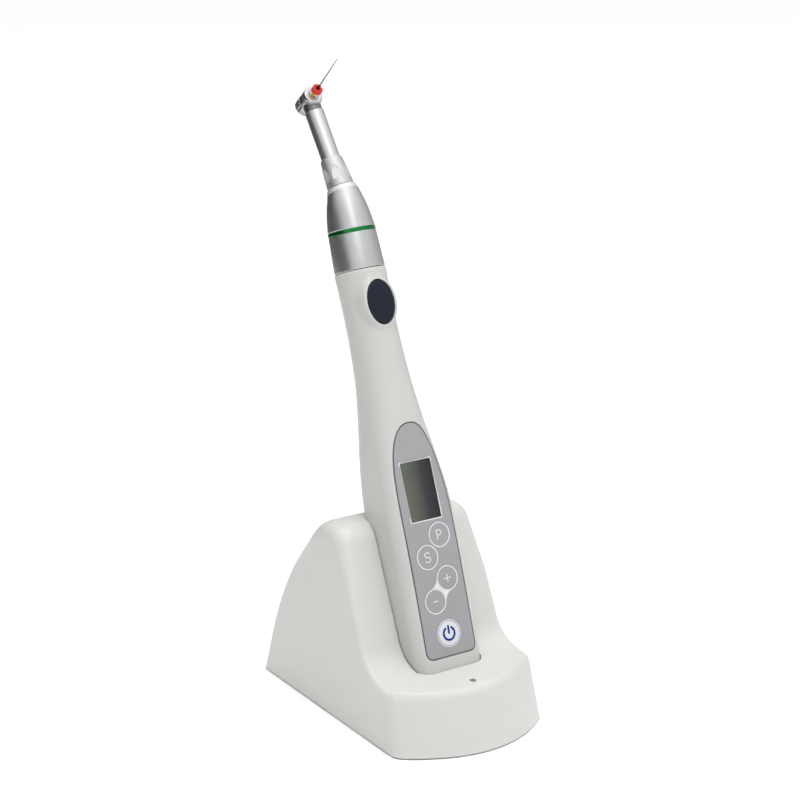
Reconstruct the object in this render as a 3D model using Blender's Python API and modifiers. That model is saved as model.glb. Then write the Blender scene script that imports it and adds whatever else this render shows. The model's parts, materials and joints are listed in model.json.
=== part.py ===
"""Endodontic motor: a cordless handpiece with a contra-angle head, docked in its charging base.

Metres, +Z up. The base stands on Z = 0, X = 0 is the plane of symmetry, and the front is -Y.
The handpiece, the neck and the head each have a frame of their own whose +Z is the piece's axis.
"""

import math

import bmesh
import bpy
from mathutils import Vector

GAP = 0.0003            # between pieces that touch
HAIRLINE = 0.00015      # between two covers that close on each other

# Handpiece axis: where the white body meets the silver sleeve, and how far it leans back.
HANDPIECE_TOP = (0.0, 0.02351, 0.16949)
HANDPIECE_LEAN = 20.88

# Base
BASE_PROFILE = [        # (y, z, corner radius) of the middle section, from the front foot to the rear foot
    (-0.06485, 0.0, 0.0),
    (-0.0574, 0.0240, 0.0042),
    (-0.0284, 0.0266, 0.0150),
    (-0.016145, 0.0560, 0.0),
    (-0.0071, 0.0777, 0.0090),
    (0.0113, 0.0777, 0.0200),
    (0.023059, 0.0600, 0.0),
    (0.0402, 0.0342, 0.1400),
    (0.0525, 0.0, 0.0),
]
BASE_TOP = 0.0777
BASE_HALF_WIDTH = 0.0319        # at y = 0, z = 0
BASE_TAPER = 0.062              # half-width lost per metre towards the rear
BASE_DRAFT = 0.003              # half-width lost per metre upwards
BASE_BULGE = 11.8               # how the front bows: y grows by this times x squared
BULGE_END_Y = -0.035            # the bow has died out here
BASE_EDGE = 0.0030              # rounding between the flanks and the front
BASE_CREST_EDGE = 0.0075        # the same over the crest
BASE_REAR_EDGE = 0.0012         # and down the back
CREST_STARTS = 0.0500           # height from which the rounding widens towards the crest
BASE_WALL = 0.0022
BASE_RIM_Z = 0.0006
PLATE_Z = (0.0010, 0.0035)
FOOT_SPOTS = [(-0.0225, -0.0450), (0.0225, -0.0450), (-0.0185, 0.0370), (0.0185, 0.0370)]
FOOT_RADIUS = 0.0050
FOOT_HEIGHT = 0.0022
SCREW_SPOTS = [(-0.0240, -0.0300), (0.0240, -0.0300), (-0.0195, 0.0220), (0.0195, 0.0220)]
BOSS_RADIUS = 0.0032
BOSS_TOP = 0.0750
SCREW_HOLE = 0.0016
SCREW_LENGTH = 0.0110
LIGHT_SPOT = (0.0, -0.0520)
LIGHT_HOLE = 0.0012
SOCKET_Z = 0.0105
SOCKET_RADIUS = 0.0038
SOCKET_Y = (0.0360, 0.0483)
POCKET_CLEARANCE = 0.00035
POCKET_WALL = 0.0020
POCKET_FLOOR = -0.1639
PIN_X = 0.0045

# Handpiece sections: distance down the axis, half-width, front depth, back depth,
# front corner radius, back corner radius.
BODY_SECTIONS = [
    (0.000, 0.01010, 0.01010, 0.01010, 0.01010, 0.01010),
    (0.015, 0.00985, 0.00990, 0.00990, 0.00985, 0.00985),
    (0.030, 0.01005, 0.01005, 0.01015, 0.01000, 0.01000),
    (0.045, 0.01080, 0.01070, 0.01110, 0.01050, 0.01050),
    (0.060, 0.01205, 0.01140, 0.01250, 0.01030, 0.00950),
    (0.075, 0.01370, 0.01170, 0.01380, 0.00880, 0.00860),
    (0.088, 0.01475, 0.01165, 0.01450, 0.00700, 0.00800),
    (0.100, 0.01510, 0.01145, 0.01470, 0.00620, 0.00780),
    (0.120, 0.01510, 0.01080, 0.01470, 0.00600, 0.00780),
    (0.140, 0.01510, 0.00970, 0.01470, 0.00600, 0.00780),
    (0.1635, 0.01490, 0.00790, 0.01450, 0.00550, 0.00760),
]
BODY_LENGTH = 0.1635
BODY_WALL = 0.0018
END_CAP_TOP = -0.1611
SPLIT_Y = 0.0070                # parting plane of the two shells, behind the axis
NOSE_HOLE = 0.0045
BODY_SCREW_Z = (-0.0615, -0.1550)
BODY_BOSS = 0.0022

# Control panel, measured up from its lower edge
PANEL_FOOT = -0.1524
PANEL_HALF_WIDTH = 0.0115
PANEL_LENGTH = 0.0911
PANEL_STRAIGHT = 0.0500         # above this the sides close in to the rounded tip
PANEL_TIP_POWER = 2.5
PANEL_CORNER = 0.0030
PANEL_SUNK = 0.0001
PANEL_THICKNESS = 0.0008
PANEL_POCKET = 0.0012
LCD_X = (-0.0077, 0.0063)
LCD_SPAN = (0.0531, 0.0762)
KEYS = {                        # x, height above the panel's lower edge, radius
    "key_program": (0.0036, 0.0465, 0.0049),
    "key_speed": (-0.0036, 0.0389, 0.0049),
    "key_plus": (0.0036, 0.02955, 0.0049),
    "key_minus": (-0.0036, 0.0217, 0.0049),
    "key_power": (0.0, 0.00867, 0.0054),
}
KEY_GAP = 0.00022
KEY_THICKNESS = 0.0005
KEY_STEM = 0.0012
KEY_STEM_END = -0.0074          # y of the stem's inner end
BOARD_Y = (-0.0064, -0.0054)
BOARD_Z = (-0.1500, -0.0660)
SWITCH_TOP = -0.0070

# Trigger button on the front of the handpiece
TRIGGER_Z = -0.01375
TRIGGER_SEMI = (0.00605, 0.00875)
TRIGGER_RIM = 0.0011
TRIGGER_GAP = 0.00025
TRIGGER_FACE = -0.0104
TRIGGER_BACK = -0.0076

# Drive
MOTOR_RADIUS = 0.0070
MOTOR_Z = (-0.0580, -0.0240)
NOSE_RADIUS = 0.0036
NOSE_TOP = 0.0140
BATTERY_RADIUS = 0.0069
BATTERY_Z = (-0.1170, -0.0670)
BATTERY_Y = 0.0035

# Contra-angle, in the handpiece's frame up to the neck
SLEEVE_RADII = (0.0100, 0.0094)
SLEEVE_TOP = 0.0146
RING_RADIUS = 0.0094
SHEATH_FOOT = 0.0163
SHEATH_ROWS = [(0.0163, 0.0093), (0.0230, 0.0085), (0.0299, 0.00715), (0.0309, 0.0063)]
SHEATH_MOUTH = (0.0012, 0.00585)        # height and radius in the neck's frame
NECK_FOOT = (0.0, 0.00067, 0.03173)     # the neck's frame in the handpiece's frame
NECK_BEND = 13.8
NECK_RADIUS = 0.0037
HEAD_DISTANCE = 0.0394                  # from the neck's foot to the head's axis
HEAD_TURN = 81.0                        # from the neck's direction to the file's
HEAD_RADIUS = 0.00395
HEAD_FACE = 0.0038
HEAD_BACK = -0.0041
BACK_RING_Z = (-0.0057, -0.0044)
BACK_RING_RADIUS = 0.0042

# Gears: planet stage and the bevel pair in the head
GEAR_MODULE = 1.0 / 3000
SUN_TEETH = 12
PLANET_TEETH = 12
RING_TEETH = 36
STAGE_Z = (0.0184, 0.0222)
PLANET_ANGLES = (90, 210, 330)
BEVEL_TEETH = 10
BEVEL_RADII = (0.0026, 0.0019)

# File
SHANK_RADIUS = 0.001175
SHANK_Z = (-0.0024, 0.0056)
STOPPER_Z = (0.0058, 0.0081)
STOPPER_RADIUS = 0.0022
FILE_TIP = 0.0274

MATERIALS = {           # name: colour, roughness, metallic
    "white_plastic": ((0.74, 0.75, 0.72, 1), 0.38, 0.0),
    "grey_film": ((0.34, 0.34, 0.37, 1), 0.45, 0.0),
    "display_glass": ((0.12, 0.14, 0.12, 1), 0.12, 0.0),
    "navy_rubber": ((0.022, 0.027, 0.042, 1), 0.55, 0.0),
    "power_key": ((0.80, 0.82, 0.84, 1), 0.35, 0.0),
    "satin_steel": ((0.72, 0.73, 0.75, 1), 0.28, 1.0),
    "green_ring": ((0.02, 0.24, 0.07, 1), 0.25, 0.0),
    "brass": ((0.78, 0.56, 0.20, 1), 0.25, 1.0),
    "blue_nickel_titanium": ((0.05, 0.09, 0.17, 1), 0.30, 1.0),
    "red_silicone": ((0.75, 0.05, 0.02, 1), 0.45, 0.0),
    "black_rubber": ((0.03, 0.03, 0.03, 1), 0.80, 0.0),
    "black_plastic": ((0.02, 0.02, 0.02, 1), 0.50, 0.0),
    "circuit_board": ((0.02, 0.16, 0.06, 1), 0.50, 0.0),
    "battery_wrap": ((0.05, 0.15, 0.40, 1), 0.40, 0.0),
    "zinc_steel": ((0.55, 0.55, 0.56, 1), 0.35, 1.0),
    "light_pipe": ((0.55, 0.62, 0.60, 1), 0.20, 0.0),
}


# ---------------------------------------------------------------- helpers

def empty_scene():
    for item in list(bpy.data.objects):
        bpy.data.objects.remove(item, do_unlink=True)


def new_collection(name):
    collection = bpy.data.collections.new(name)
    bpy.context.scene.collection.children.link(collection)
    return collection


def make_materials():
    for name, (colour, roughness, metallic) in MATERIALS.items():
        material = bpy.data.materials.new(name)
        material.use_nodes = True
        shader = material.node_tree.nodes["Principled BSDF"]
        shader.inputs["Base Color"].default_value = colour
        shader.inputs["Roughness"].default_value = roughness
        shader.inputs["Metallic"].default_value = metallic
        material.diffuse_color = colour


def new_frame(name, parent=None, location=(0, 0, 0), turn_x=0.0):
    frame = bpy.data.objects.new(name, None)
    PARTS.objects.link(frame)
    frame.parent = parent
    frame.location = location
    frame.rotation_euler = (math.radians(turn_x), 0, 0)
    return frame


def place(item, material=None, frame=None, location=(0, 0, 0), rotation=(0, 0, 0)):
    """Link a part, or a cutter when it has no material, into its collection and frame."""
    if material:
        PARTS.objects.link(item)
        item.data.materials.append(bpy.data.materials[material])
    else:
        CUTTERS.objects.link(item)
        item.hide_render = True
        item.display_type = "WIRE"
    item.parent = frame
    item.location = location
    item.rotation_euler = rotation
    return item


def mesh_object(name, shape):
    """Turn a bmesh into an object with its faces pointing out."""
    bmesh.ops.recalc_face_normals(shape, faces=shape.faces)
    mesh = bpy.data.meshes.new(name)
    shape.to_mesh(mesh)
    shape.free()
    mesh.shade_smooth()
    mesh.set_sharp_from_angle(angle=math.radians(35))
    return bpy.data.objects.new(name, mesh)


def box(name, low, high, material=None, frame=None, round_edges=0.0):
    low, high = Vector(low), Vector(high)
    shape = bmesh.new()
    bmesh.ops.create_cube(shape, size=1)
    bmesh.ops.scale(shape, vec=high - low, verts=shape.verts)
    item = place(mesh_object(name, shape), material, frame, (low + high) / 2)
    if round_edges:
        bevel = item.modifiers.new("round edges", "BEVEL")
        bevel.width = round_edges
        bevel.segments = 2
    return item


def turned(name, profile, material=None, frame=None, location=(0, 0, 0), rotation=(0, 0, 0),
           steps=24, hollow=False):
    """A profile of (radius, z) points, listed down its outer side, turned about Z."""
    mesh = bpy.data.meshes.new(name)
    count = len(profile)
    edges = [(i, i + 1) for i in range(count - 1)]
    if hollow:
        edges.append((count - 1, 0))
    mesh.from_pydata([(radius, 0, z) for radius, z in profile], edges, [])
    item = place(bpy.data.objects.new(name, mesh), material, frame, location, rotation)
    screw = item.modifiers.new("turn", "SCREW")
    screw.axis = "Z"
    screw.steps = steps
    screw.render_steps = steps
    screw.use_merge_vertices = True
    screw.merge_threshold = 1e-6
    screw.use_smooth_shade = True
    return item


def rod(name, radius, low, high, material=None, frame=None, location=(0, 0, 0), rotation=(0, 0, 0),
        steps=16, bevel=0.0):
    """A plain round bar along Z, its end edges chamfered by the bevel."""
    profile = [(0, high), (radius - bevel, high), (radius, high - bevel)]
    profile += [(radius, low + bevel), (radius - bevel, low), (0, low)]
    if not bevel:
        profile = [(0, high), (radius, high), (radius, low), (0, low)]
    return turned(name, profile, material, frame, location, rotation, steps)


def tube(name, outer, inner, low, high, material=None, frame=None, location=(0, 0, 0), steps=20):
    profile = [(outer, high), (outer, low), (inner, low), (inner, high)]
    return turned(name, profile, material, frame, location, steps=steps, hollow=True)


def loft(name, rows, material=None, frame=None, location=(0, 0, 0)):
    """A solid through rows of points that all have the same number of points."""
    shape = bmesh.new()
    rings = [[shape.verts.new(point) for point in row] for row in rows]
    for lower, upper in zip(rings, rings[1:]):
        for i in range(len(lower)):
            j = (i + 1) % len(lower)
            shape.faces.new((lower[i], lower[j], upper[j], upper[i]))
    shape.faces.new(list(reversed(rings[0])))
    shape.faces.new(rings[-1])
    return place(mesh_object(name, shape), material, frame, location)


def plate(name, outlines, thickness, material=None, frame=None, location=(0, 0, 0), rotation=(0, 0, 0)):
    """Flat outlines in XY, the first one the outer edge, made thickness deep about Z = 0."""
    curve = bpy.data.curves.new(name, "CURVE")
    curve.dimensions = "2D"
    curve.fill_mode = "BOTH"
    curve.extrude = thickness / 2
    for outline in outlines:
        spline = curve.splines.new("POLY")
        spline.points.add(len(outline) - 1)
        for point, (x, y) in zip(spline.points, outline):
            point.co = (x, y, 0, 1)
        spline.use_cyclic_u = True
    source = bpy.data.objects.new(name, curve)
    bpy.context.scene.collection.objects.link(source)
    bpy.context.view_layer.update()
    flat = bpy.data.meshes.new_from_object(source.evaluated_get(bpy.context.evaluated_depsgraph_get()))
    bpy.data.objects.remove(source)
    shape = bmesh.new()
    shape.from_mesh(flat)
    bmesh.ops.remove_doubles(shape, verts=shape.verts, dist=1e-6)
    return place(mesh_object(name, shape), material, frame, location, rotation)


def boolean(item, other, operation="DIFFERENCE"):
    modifier = item.modifiers.new(other.name, "BOOLEAN")
    modifier.operation = operation
    modifier.solver = "EXACT"
    modifier.object = other


def cut(item, *cutters):
    for cutter in cutters:
        boolean(item, cutter)


def join(item, *pieces):
    for piece in pieces:
        boolean(item, piece, "UNION")


def circle(radius, count, centre=(0, 0)):
    angles = [2 * math.pi * i / count for i in range(count)]
    return [(centre[0] + radius * math.cos(a), centre[1] + radius * math.sin(a)) for a in angles]


def oval(semi_x, semi_y, count, centre=(0, 0)):
    return [(centre[0] + semi_x * x, centre[1] + semi_y * y) for x, y in circle(1, count)]


def rounded_path(corners, arc_steps):
    """Points and outward normals along a path of (y, z, radius) corners, each one an arc or a plain point."""
    points = [Vector(corner[:2]) for corner in corners]
    path = [points[0]]
    for i in range(1, len(points) - 1):
        if not corners[i][2]:
            path.append(points[i])
            continue
        before = (points[i - 1] - points[i]).normalized()
        after = (points[i + 1] - points[i]).normalized()
        turn = before.angle(after)
        radius = corners[i][2]
        centre = points[i] + (before + after).normalized() * radius / math.sin(turn / 2)
        start = points[i] + before * radius / math.tan(turn / 2) - centre
        sweep = start.angle_signed(points[i] + after * radius / math.tan(turn / 2) - centre)
        for step in range(arc_steps + 1):
            angle = -sweep * step / arc_steps
            spoke = Vector((start.x * math.cos(angle) - start.y * math.sin(angle),
                            start.x * math.sin(angle) + start.y * math.cos(angle)))
            path.append(centre + spoke)
    path.append(points[-1])
    normals = []
    for i, point in enumerate(path):
        along = path[min(i + 1, len(path) - 1)] - path[max(i - 1, 0)]
        normals.append(Vector((-along.y, along.x)).normalized())
    return path, normals


# ---------------------------------------------------------------- base

def base_half_width(y, z):
    return BASE_HALF_WIDTH - BASE_TAPER * y - BASE_DRAFT * z


def base_bulge(x, y, z):
    """How far the bowed front of the base steps back at x."""
    fade = min(1.0, max(0.0, (BULGE_END_Y - y) / (BULGE_END_Y - BASE_PROFILE[1][0])))
    return BASE_BULGE * x * x * fade


def base_edge(y, z):
    """Rounding between the flanks and the front, the crest or the back."""
    plain = BASE_EDGE if y < 0 else BASE_REAR_EDGE
    rise = min(1.0, max(0.0, (z - CREST_STARTS) / (BASE_TOP - CREST_STARTS)))
    return plain + (BASE_CREST_EDGE - plain) * rise * rise * (3 - 2 * rise)


def base_solid(name, inset, bottom, arc_steps=3, edge_steps=3, across=6, material=None):
    """The base's outer form, or with an inset the hollow inside it, down to the height bottom."""
    path, normals = rounded_path(BASE_PROFILE, arc_steps)
    slots = []
    for step in range(edge_steps + 1):
        angle = math.pi / 2 * step / edge_steps
        slots.append((-1, 1 - math.cos(angle), 1 - math.sin(angle)))
    middle = [(2 * i / across - 1, None, 0.0) for i in range(1, across)]
    slots += middle + [(1, narrow, depth) for _, narrow, depth in reversed(slots)]
    shape = bmesh.new()
    rings = []
    for index, (point, normal) in enumerate(zip(path, normals)):
        ring = []
        edge = max(0.0005, base_edge(point.x, point.y) - inset * 0.6)
        for side, narrow, depth in slots:
            inward = point - normal * (inset + edge * depth)
            y, z = inward
            if index in (0, len(path) - 1):
                z = bottom
            x = 0.0
            for _ in range(3):
                reach = base_half_width(y, z) - inset
                x = side * (reach - edge) if narrow is None else side * (reach - edge * narrow)
                y = inward.x + base_bulge(x, point.x, z)
            ring.append(shape.verts.new((x, y, z)))
        rings.append(ring)
    for near, far in zip(rings, rings[1:]):
        for i in range(len(near) - 1):
            shape.faces.new((near[i], near[i + 1], far[i + 1], far[i]))
    shape.faces.new([ring[0] for ring in rings])
    shape.faces.new([ring[-1] for ring in reversed(rings)])
    shape.faces.new(rings[0] + list(reversed(rings[-1])))
    return place(mesh_object(name, shape), material)


def make_base(handpiece):
    shell = base_solid("base_shell", 0.0, BASE_RIM_Z, material="white_plastic")
    hollow = base_solid("base_hollow", BASE_WALL, -0.002, arc_steps=2, edge_steps=1, across=4)
    pocket_wall = pocket("pocket_wall", POCKET_CLEARANCE + POCKET_WALL, POCKET_FLOOR - POCKET_WALL, handpiece)
    cut(hollow, pocket_wall)
    for number, (x, y) in enumerate(SCREW_SPOTS, 1):
        cut(hollow, rod(f"boss_{number}", BOSS_RADIUS, PLATE_Z[1] + GAP, BOSS_TOP,
                        location=(x, y, 0), steps=12))
    cut(shell, hollow, pocket("pocket_void", POCKET_CLEARANCE, POCKET_FLOOR, handpiece))
    for number, (x, y) in enumerate(SCREW_SPOTS, 1):
        top = PLATE_Z[1] + SCREW_LENGTH + GAP
        cut(shell, rod(f"pilot_{number}", SCREW_HOLE, 0.0, top, location=(x, y, 0), steps=10))
    cut(shell, rod("light_hole", LIGHT_HOLE, 0.015, 0.030, location=(*LIGHT_SPOT, 0), steps=12))
    along_y = (math.radians(-90), 0, 0)
    cut(shell, rod("socket_hole", SOCKET_RADIUS + GAP, 0.040, 0.060, location=(0, 0, SOCKET_Z),
                   rotation=along_y))
    for side in (-1, 1):
        cut(shell, rod(f"pin_hole_{side}", 0.0013, POCKET_FLOOR - 0.004, POCKET_FLOOR + 0.002,
                       frame=handpiece, location=(side * PIN_X, 0, 0), steps=10))
    make_base_plate()
    make_base_inside(handpiece)


def pocket(name, grow, floor, handpiece):
    """The handpiece's lower end, grown all round and open to the front above the ledge."""
    widest = [max(section[i] for section in BODY_SECTIONS) for i in range(1, 6)]
    lip_z = -0.1560
    rows = []
    for z, front in ((floor, None), (lip_z, None), (lip_z + 0.0002, 0.022), (-0.060, 0.022)):
        half, depth, back, front_radius, back_radius = widest
        depth = body_size(z)[1] if front is None else front
        outline = rounded_outline(half + grow, depth + grow, back + grow, 0.006, 0.0078 + grow)
        rows.append([(x, y, z) for x, y in outline])
    return loft(name, rows, frame=handpiece)


def make_base_plate():
    """A plate that drops into the shell's open underside, clear of its drafted walls."""
    inset = BASE_WALL + 0.0018
    front = BASE_PROFILE[0][0] + inset + 0.0012
    rear = BASE_PROFILE[-1][0] - inset
    front_half = base_half_width(-0.048, 0) - inset - 0.0006
    rear_half = base_half_width(rear, 0) - inset
    outline = []
    for i in range(9):
        x = front_half * (i / 4 - 1)
        outline.append((x, front + BASE_BULGE * x * x))
    outline += [(rear_half, rear - 0.004), (rear_half - 0.004, rear)]
    outline += [(0.004 - rear_half, rear), (-rear_half, rear - 0.004)]
    thickness = PLATE_Z[1] - PLATE_Z[0]
    middle = sum(PLATE_Z) / 2
    base_plate = plate("base_plate", [outline], thickness, "black_plastic", location=(0, 0, middle))
    for number, (x, y) in enumerate(FOOT_SPOTS, 1):
        cut(base_plate, rod(f"foot_recess_{number}", FOOT_RADIUS + GAP, 0.0, FOOT_HEIGHT + GAP,
                            location=(x, y, 0)))
        profile = [(0, FOOT_HEIGHT), (FOOT_RADIUS, FOOT_HEIGHT), (FOOT_RADIUS, 0.0004)]
        profile += [(FOOT_RADIUS - 0.0004, 0.0), (0, 0.0)]
        turned(f"foot_{number}", profile, "black_rubber", location=(x, y, 0), steps=16)
    head_z = 0.0024
    for number, (x, y) in enumerate(SCREW_SPOTS, 1):
        head_hole = [(0, 0.0040), (SCREW_HOLE, 0.0040), (SCREW_HOLE, head_z + GAP), (0.0029, head_z + GAP)]
        head_hole += [(0.0029, 0.0), (0, 0.0)]
        cut(base_plate, turned(f"plate_screw_hole_{number}", head_hole, location=(x, y, 0), steps=12))
        top = PLATE_Z[1] + SCREW_LENGTH
        profile = [(0, top), (0.0009, top), (0.0013, top - 0.0008), (0.0013, head_z), (0.0026, head_z)]
        profile += [(0.0026, head_z - 0.0007), (0.0019, head_z - 0.0012), (0, head_z - 0.0012)]
        screw = turned(f"base_screw_{number}", profile, "zinc_steel", location=(x, y, 0), steps=12)
        slot_half = Vector((0.0013, 0.0003, 0.0006))
        middle = Vector((x, y, head_z - 0.0012))
        cut(screw, box(f"base_slot_{number}", middle - slot_half, middle + slot_half))


def make_base_inside(handpiece):
    low = PLATE_Z[1] + GAP
    box("ballast", (-0.0145, 0.0040, low), (0.0145, 0.0330, low + 0.0080), "zinc_steel", round_edges=0.0008)
    board = box("charge_board", (-0.0180, -0.0520, low), (0.0180, -0.0080, low + 0.0016), "circuit_board")
    chip = box("charge_chip", (0.0080, -0.0280, low + 0.001), (0.0140, -0.0220, low + 0.0026))
    coil = rod("charge_coil", 0.0035, low + 0.001, low + 0.0040, location=(-0.0110, -0.0150, 0), steps=16)
    join(board, chip, coil)
    light_top = 0.0236
    lens = [(0, light_top), (0.0005, light_top), (0.0009, light_top - 0.0004), (0.0009, 0.0080)]
    lens += [(0.0018, 0.0080), (0.0018, low + 0.0016 + GAP), (0, low + 0.0016 + GAP)]
    turned("status_light", lens, "light_pipe", location=(*LIGHT_SPOT, 0), steps=12)
    along_y = (math.radians(-90), 0, 0)
    near, far = SOCKET_Y
    barrel = [(0, far - 0.0015), (0.0006, far - 0.0015), (0.0009, far - 0.0019), (0.0009, far - 0.0095)]
    barrel += [(0.0028, far - 0.0095), (0.0028, far), (SOCKET_RADIUS, far), (SOCKET_RADIUS, near), (0, near)]
    turned("dc_socket", barrel, "black_plastic", location=(0, 0, SOCKET_Z), rotation=along_y, steps=16)
    top = POCKET_FLOOR - POCKET_WALL - GAP
    block = box("contact_block", (-0.0085, -0.0036, top - 0.0050), (0.0085, 0.0036, top), "black_plastic",
                frame=handpiece)
    for number, side in enumerate((-1, 1), 1):
        pin_top = POCKET_FLOOR + 0.00025
        cut(block, rod(f"pin_bore_{number}", 0.0013, top - 0.0042, top + 0.001, frame=handpiece,
                       location=(side * PIN_X, 0, 0), steps=10))
        profile = [(0, pin_top), (0.0005, pin_top - 0.0001), (0.0009, pin_top - 0.0005)]
        profile += [(0.0009, top - 0.0028), (0, top - 0.0028)]
        turned(f"contact_pin_{number}", profile, "brass", handpiece, (side * PIN_X, 0, 0), steps=12)


# ---------------------------------------------------------------- handpiece

def body_size(z):
    """Half-width, front depth, back depth and the two corner radii of the body at height z."""
    down = min(max(-z, BODY_SECTIONS[0][0]), BODY_SECTIONS[-1][0])
    index = 0
    while index < len(BODY_SECTIONS) - 2 and BODY_SECTIONS[index + 1][0] < down:
        index += 1
    here, there = BODY_SECTIONS[index], BODY_SECTIONS[index + 1]
    before = BODY_SECTIONS[max(index - 1, 0)]
    beyond = BODY_SECTIONS[min(index + 2, len(BODY_SECTIONS) - 1)]
    span = there[0] - here[0]
    t = (down - here[0]) / span
    sizes = []
    for column in range(1, 6):
        slope_in = (there[column] - before[column]) / (there[0] - before[0]) * span
        slope_out = (beyond[column] - here[column]) / (beyond[0] - here[0]) * span
        value = (2 * t**3 - 3 * t**2 + 1) * here[column] + (t**3 - 2 * t**2 + t) * slope_in
        value += (3 * t**2 - 2 * t**3) * there[column] + (t**3 - t**2) * slope_out
        sizes.append(value)
    return sizes


def corner_points(half, depth, radius, count):
    """Points from (half, 0) round the corner to just short of (0, depth)."""
    radius = min(radius, half, depth)
    straight, arc, top = depth - radius, radius * math.pi / 2, half - radius
    total = straight * 0.4 + arc + top * 0.4
    points = []
    for i in range(count):
        reach = total * i / count
        if reach < straight * 0.4:
            points.append((half, reach / 0.4))
        elif reach < straight * 0.4 + arc:
            angle = (reach - straight * 0.4) / radius
            points.append((half - radius + radius * math.cos(angle), straight + radius * math.sin(angle)))
        else:
            points.append((half - radius - (reach - straight * 0.4 - arc) / 0.4, depth))
    return points


def rounded_outline(half, front, back, front_radius, back_radius, count=6):
    """A closed outline, front at -Y, of four quarters with round corners."""
    front_quarter = corner_points(half, front, front_radius, count)
    back_quarter = corner_points(half, back, back_radius, count)
    outline = [(x, -y) for x, y in front_quarter]
    outline += [(-x, -y) for x, y in reversed(front_quarter[1:])]
    outline.insert(len(front_quarter), (0, -front))
    outline += [(-x, y) for x, y in back_quarter]
    outline.append((0, back))
    outline += [(x, y) for x, y in reversed(back_quarter[1:])]
    return outline


def body_outline(z, grow=0.0):
    half, front, back, front_radius, back_radius = (size + grow for size in body_size(z))
    return rounded_outline(half, front, back, front_radius, back_radius)


def body_loft(name, grow, low, high, material=None, frame=None, stations=9):
    """The handpiece's body between two heights, grown or shrunk all round."""
    rows = []
    for i in range(stations):
        z = low + (high - low) * i / (stations - 1)
        rows.append([(x, y, z) for x, y in body_outline(z, grow)])
    return loft(name, rows, material, frame)


def panel_outline(grow, tip_steps=6):
    """The panel's outline in X and height above its lower edge, grown all round."""
    half = PANEL_HALF_WIDTH
    side = []
    for i in range(4):
        angle = math.pi / 2 * i / 3 - math.pi / 2
        side.append((half - PANEL_CORNER + PANEL_CORNER * math.cos(angle),
                     PANEL_CORNER + PANEL_CORNER * math.sin(angle)))
    tip = PANEL_LENGTH - PANEL_STRAIGHT
    for i in range(tip_steps):
        angle = math.pi / 2 * i / tip_steps
        across = math.cos(angle) ** (2 / PANEL_TIP_POWER)
        up = math.sin(angle) ** (2 / PANEL_TIP_POWER)
        side.append((half * across, PANEL_STRAIGHT + tip * up))
    right = side + [(0, PANEL_LENGTH)]
    left = [(-x, y) for x, y in reversed(side)]
    outline = right + left
    if not grow:
        return outline
    grown = []
    for i, (x, y) in enumerate(outline):
        before, after = outline[i - 1], outline[(i + 1) % len(outline)]
        along = Vector((after[0] - before[0], after[1] - before[1])).normalized()
        grown.append((x + along.y * grow, y - along.x * grow))
    return grown


def facing_front(name, outlines, near, far, material=None, frame=None):
    """Outlines in X and height, made solid along the handpiece's -Y, between two depths."""
    return plate(name, outlines, abs(far - near), material, frame, location=(0, (near + far) / 2, 0),
                 rotation=(math.radians(90), 0, 0))


def on_panel(points):
    return [(x, PANEL_FOOT + y) for x, y in points]


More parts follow.
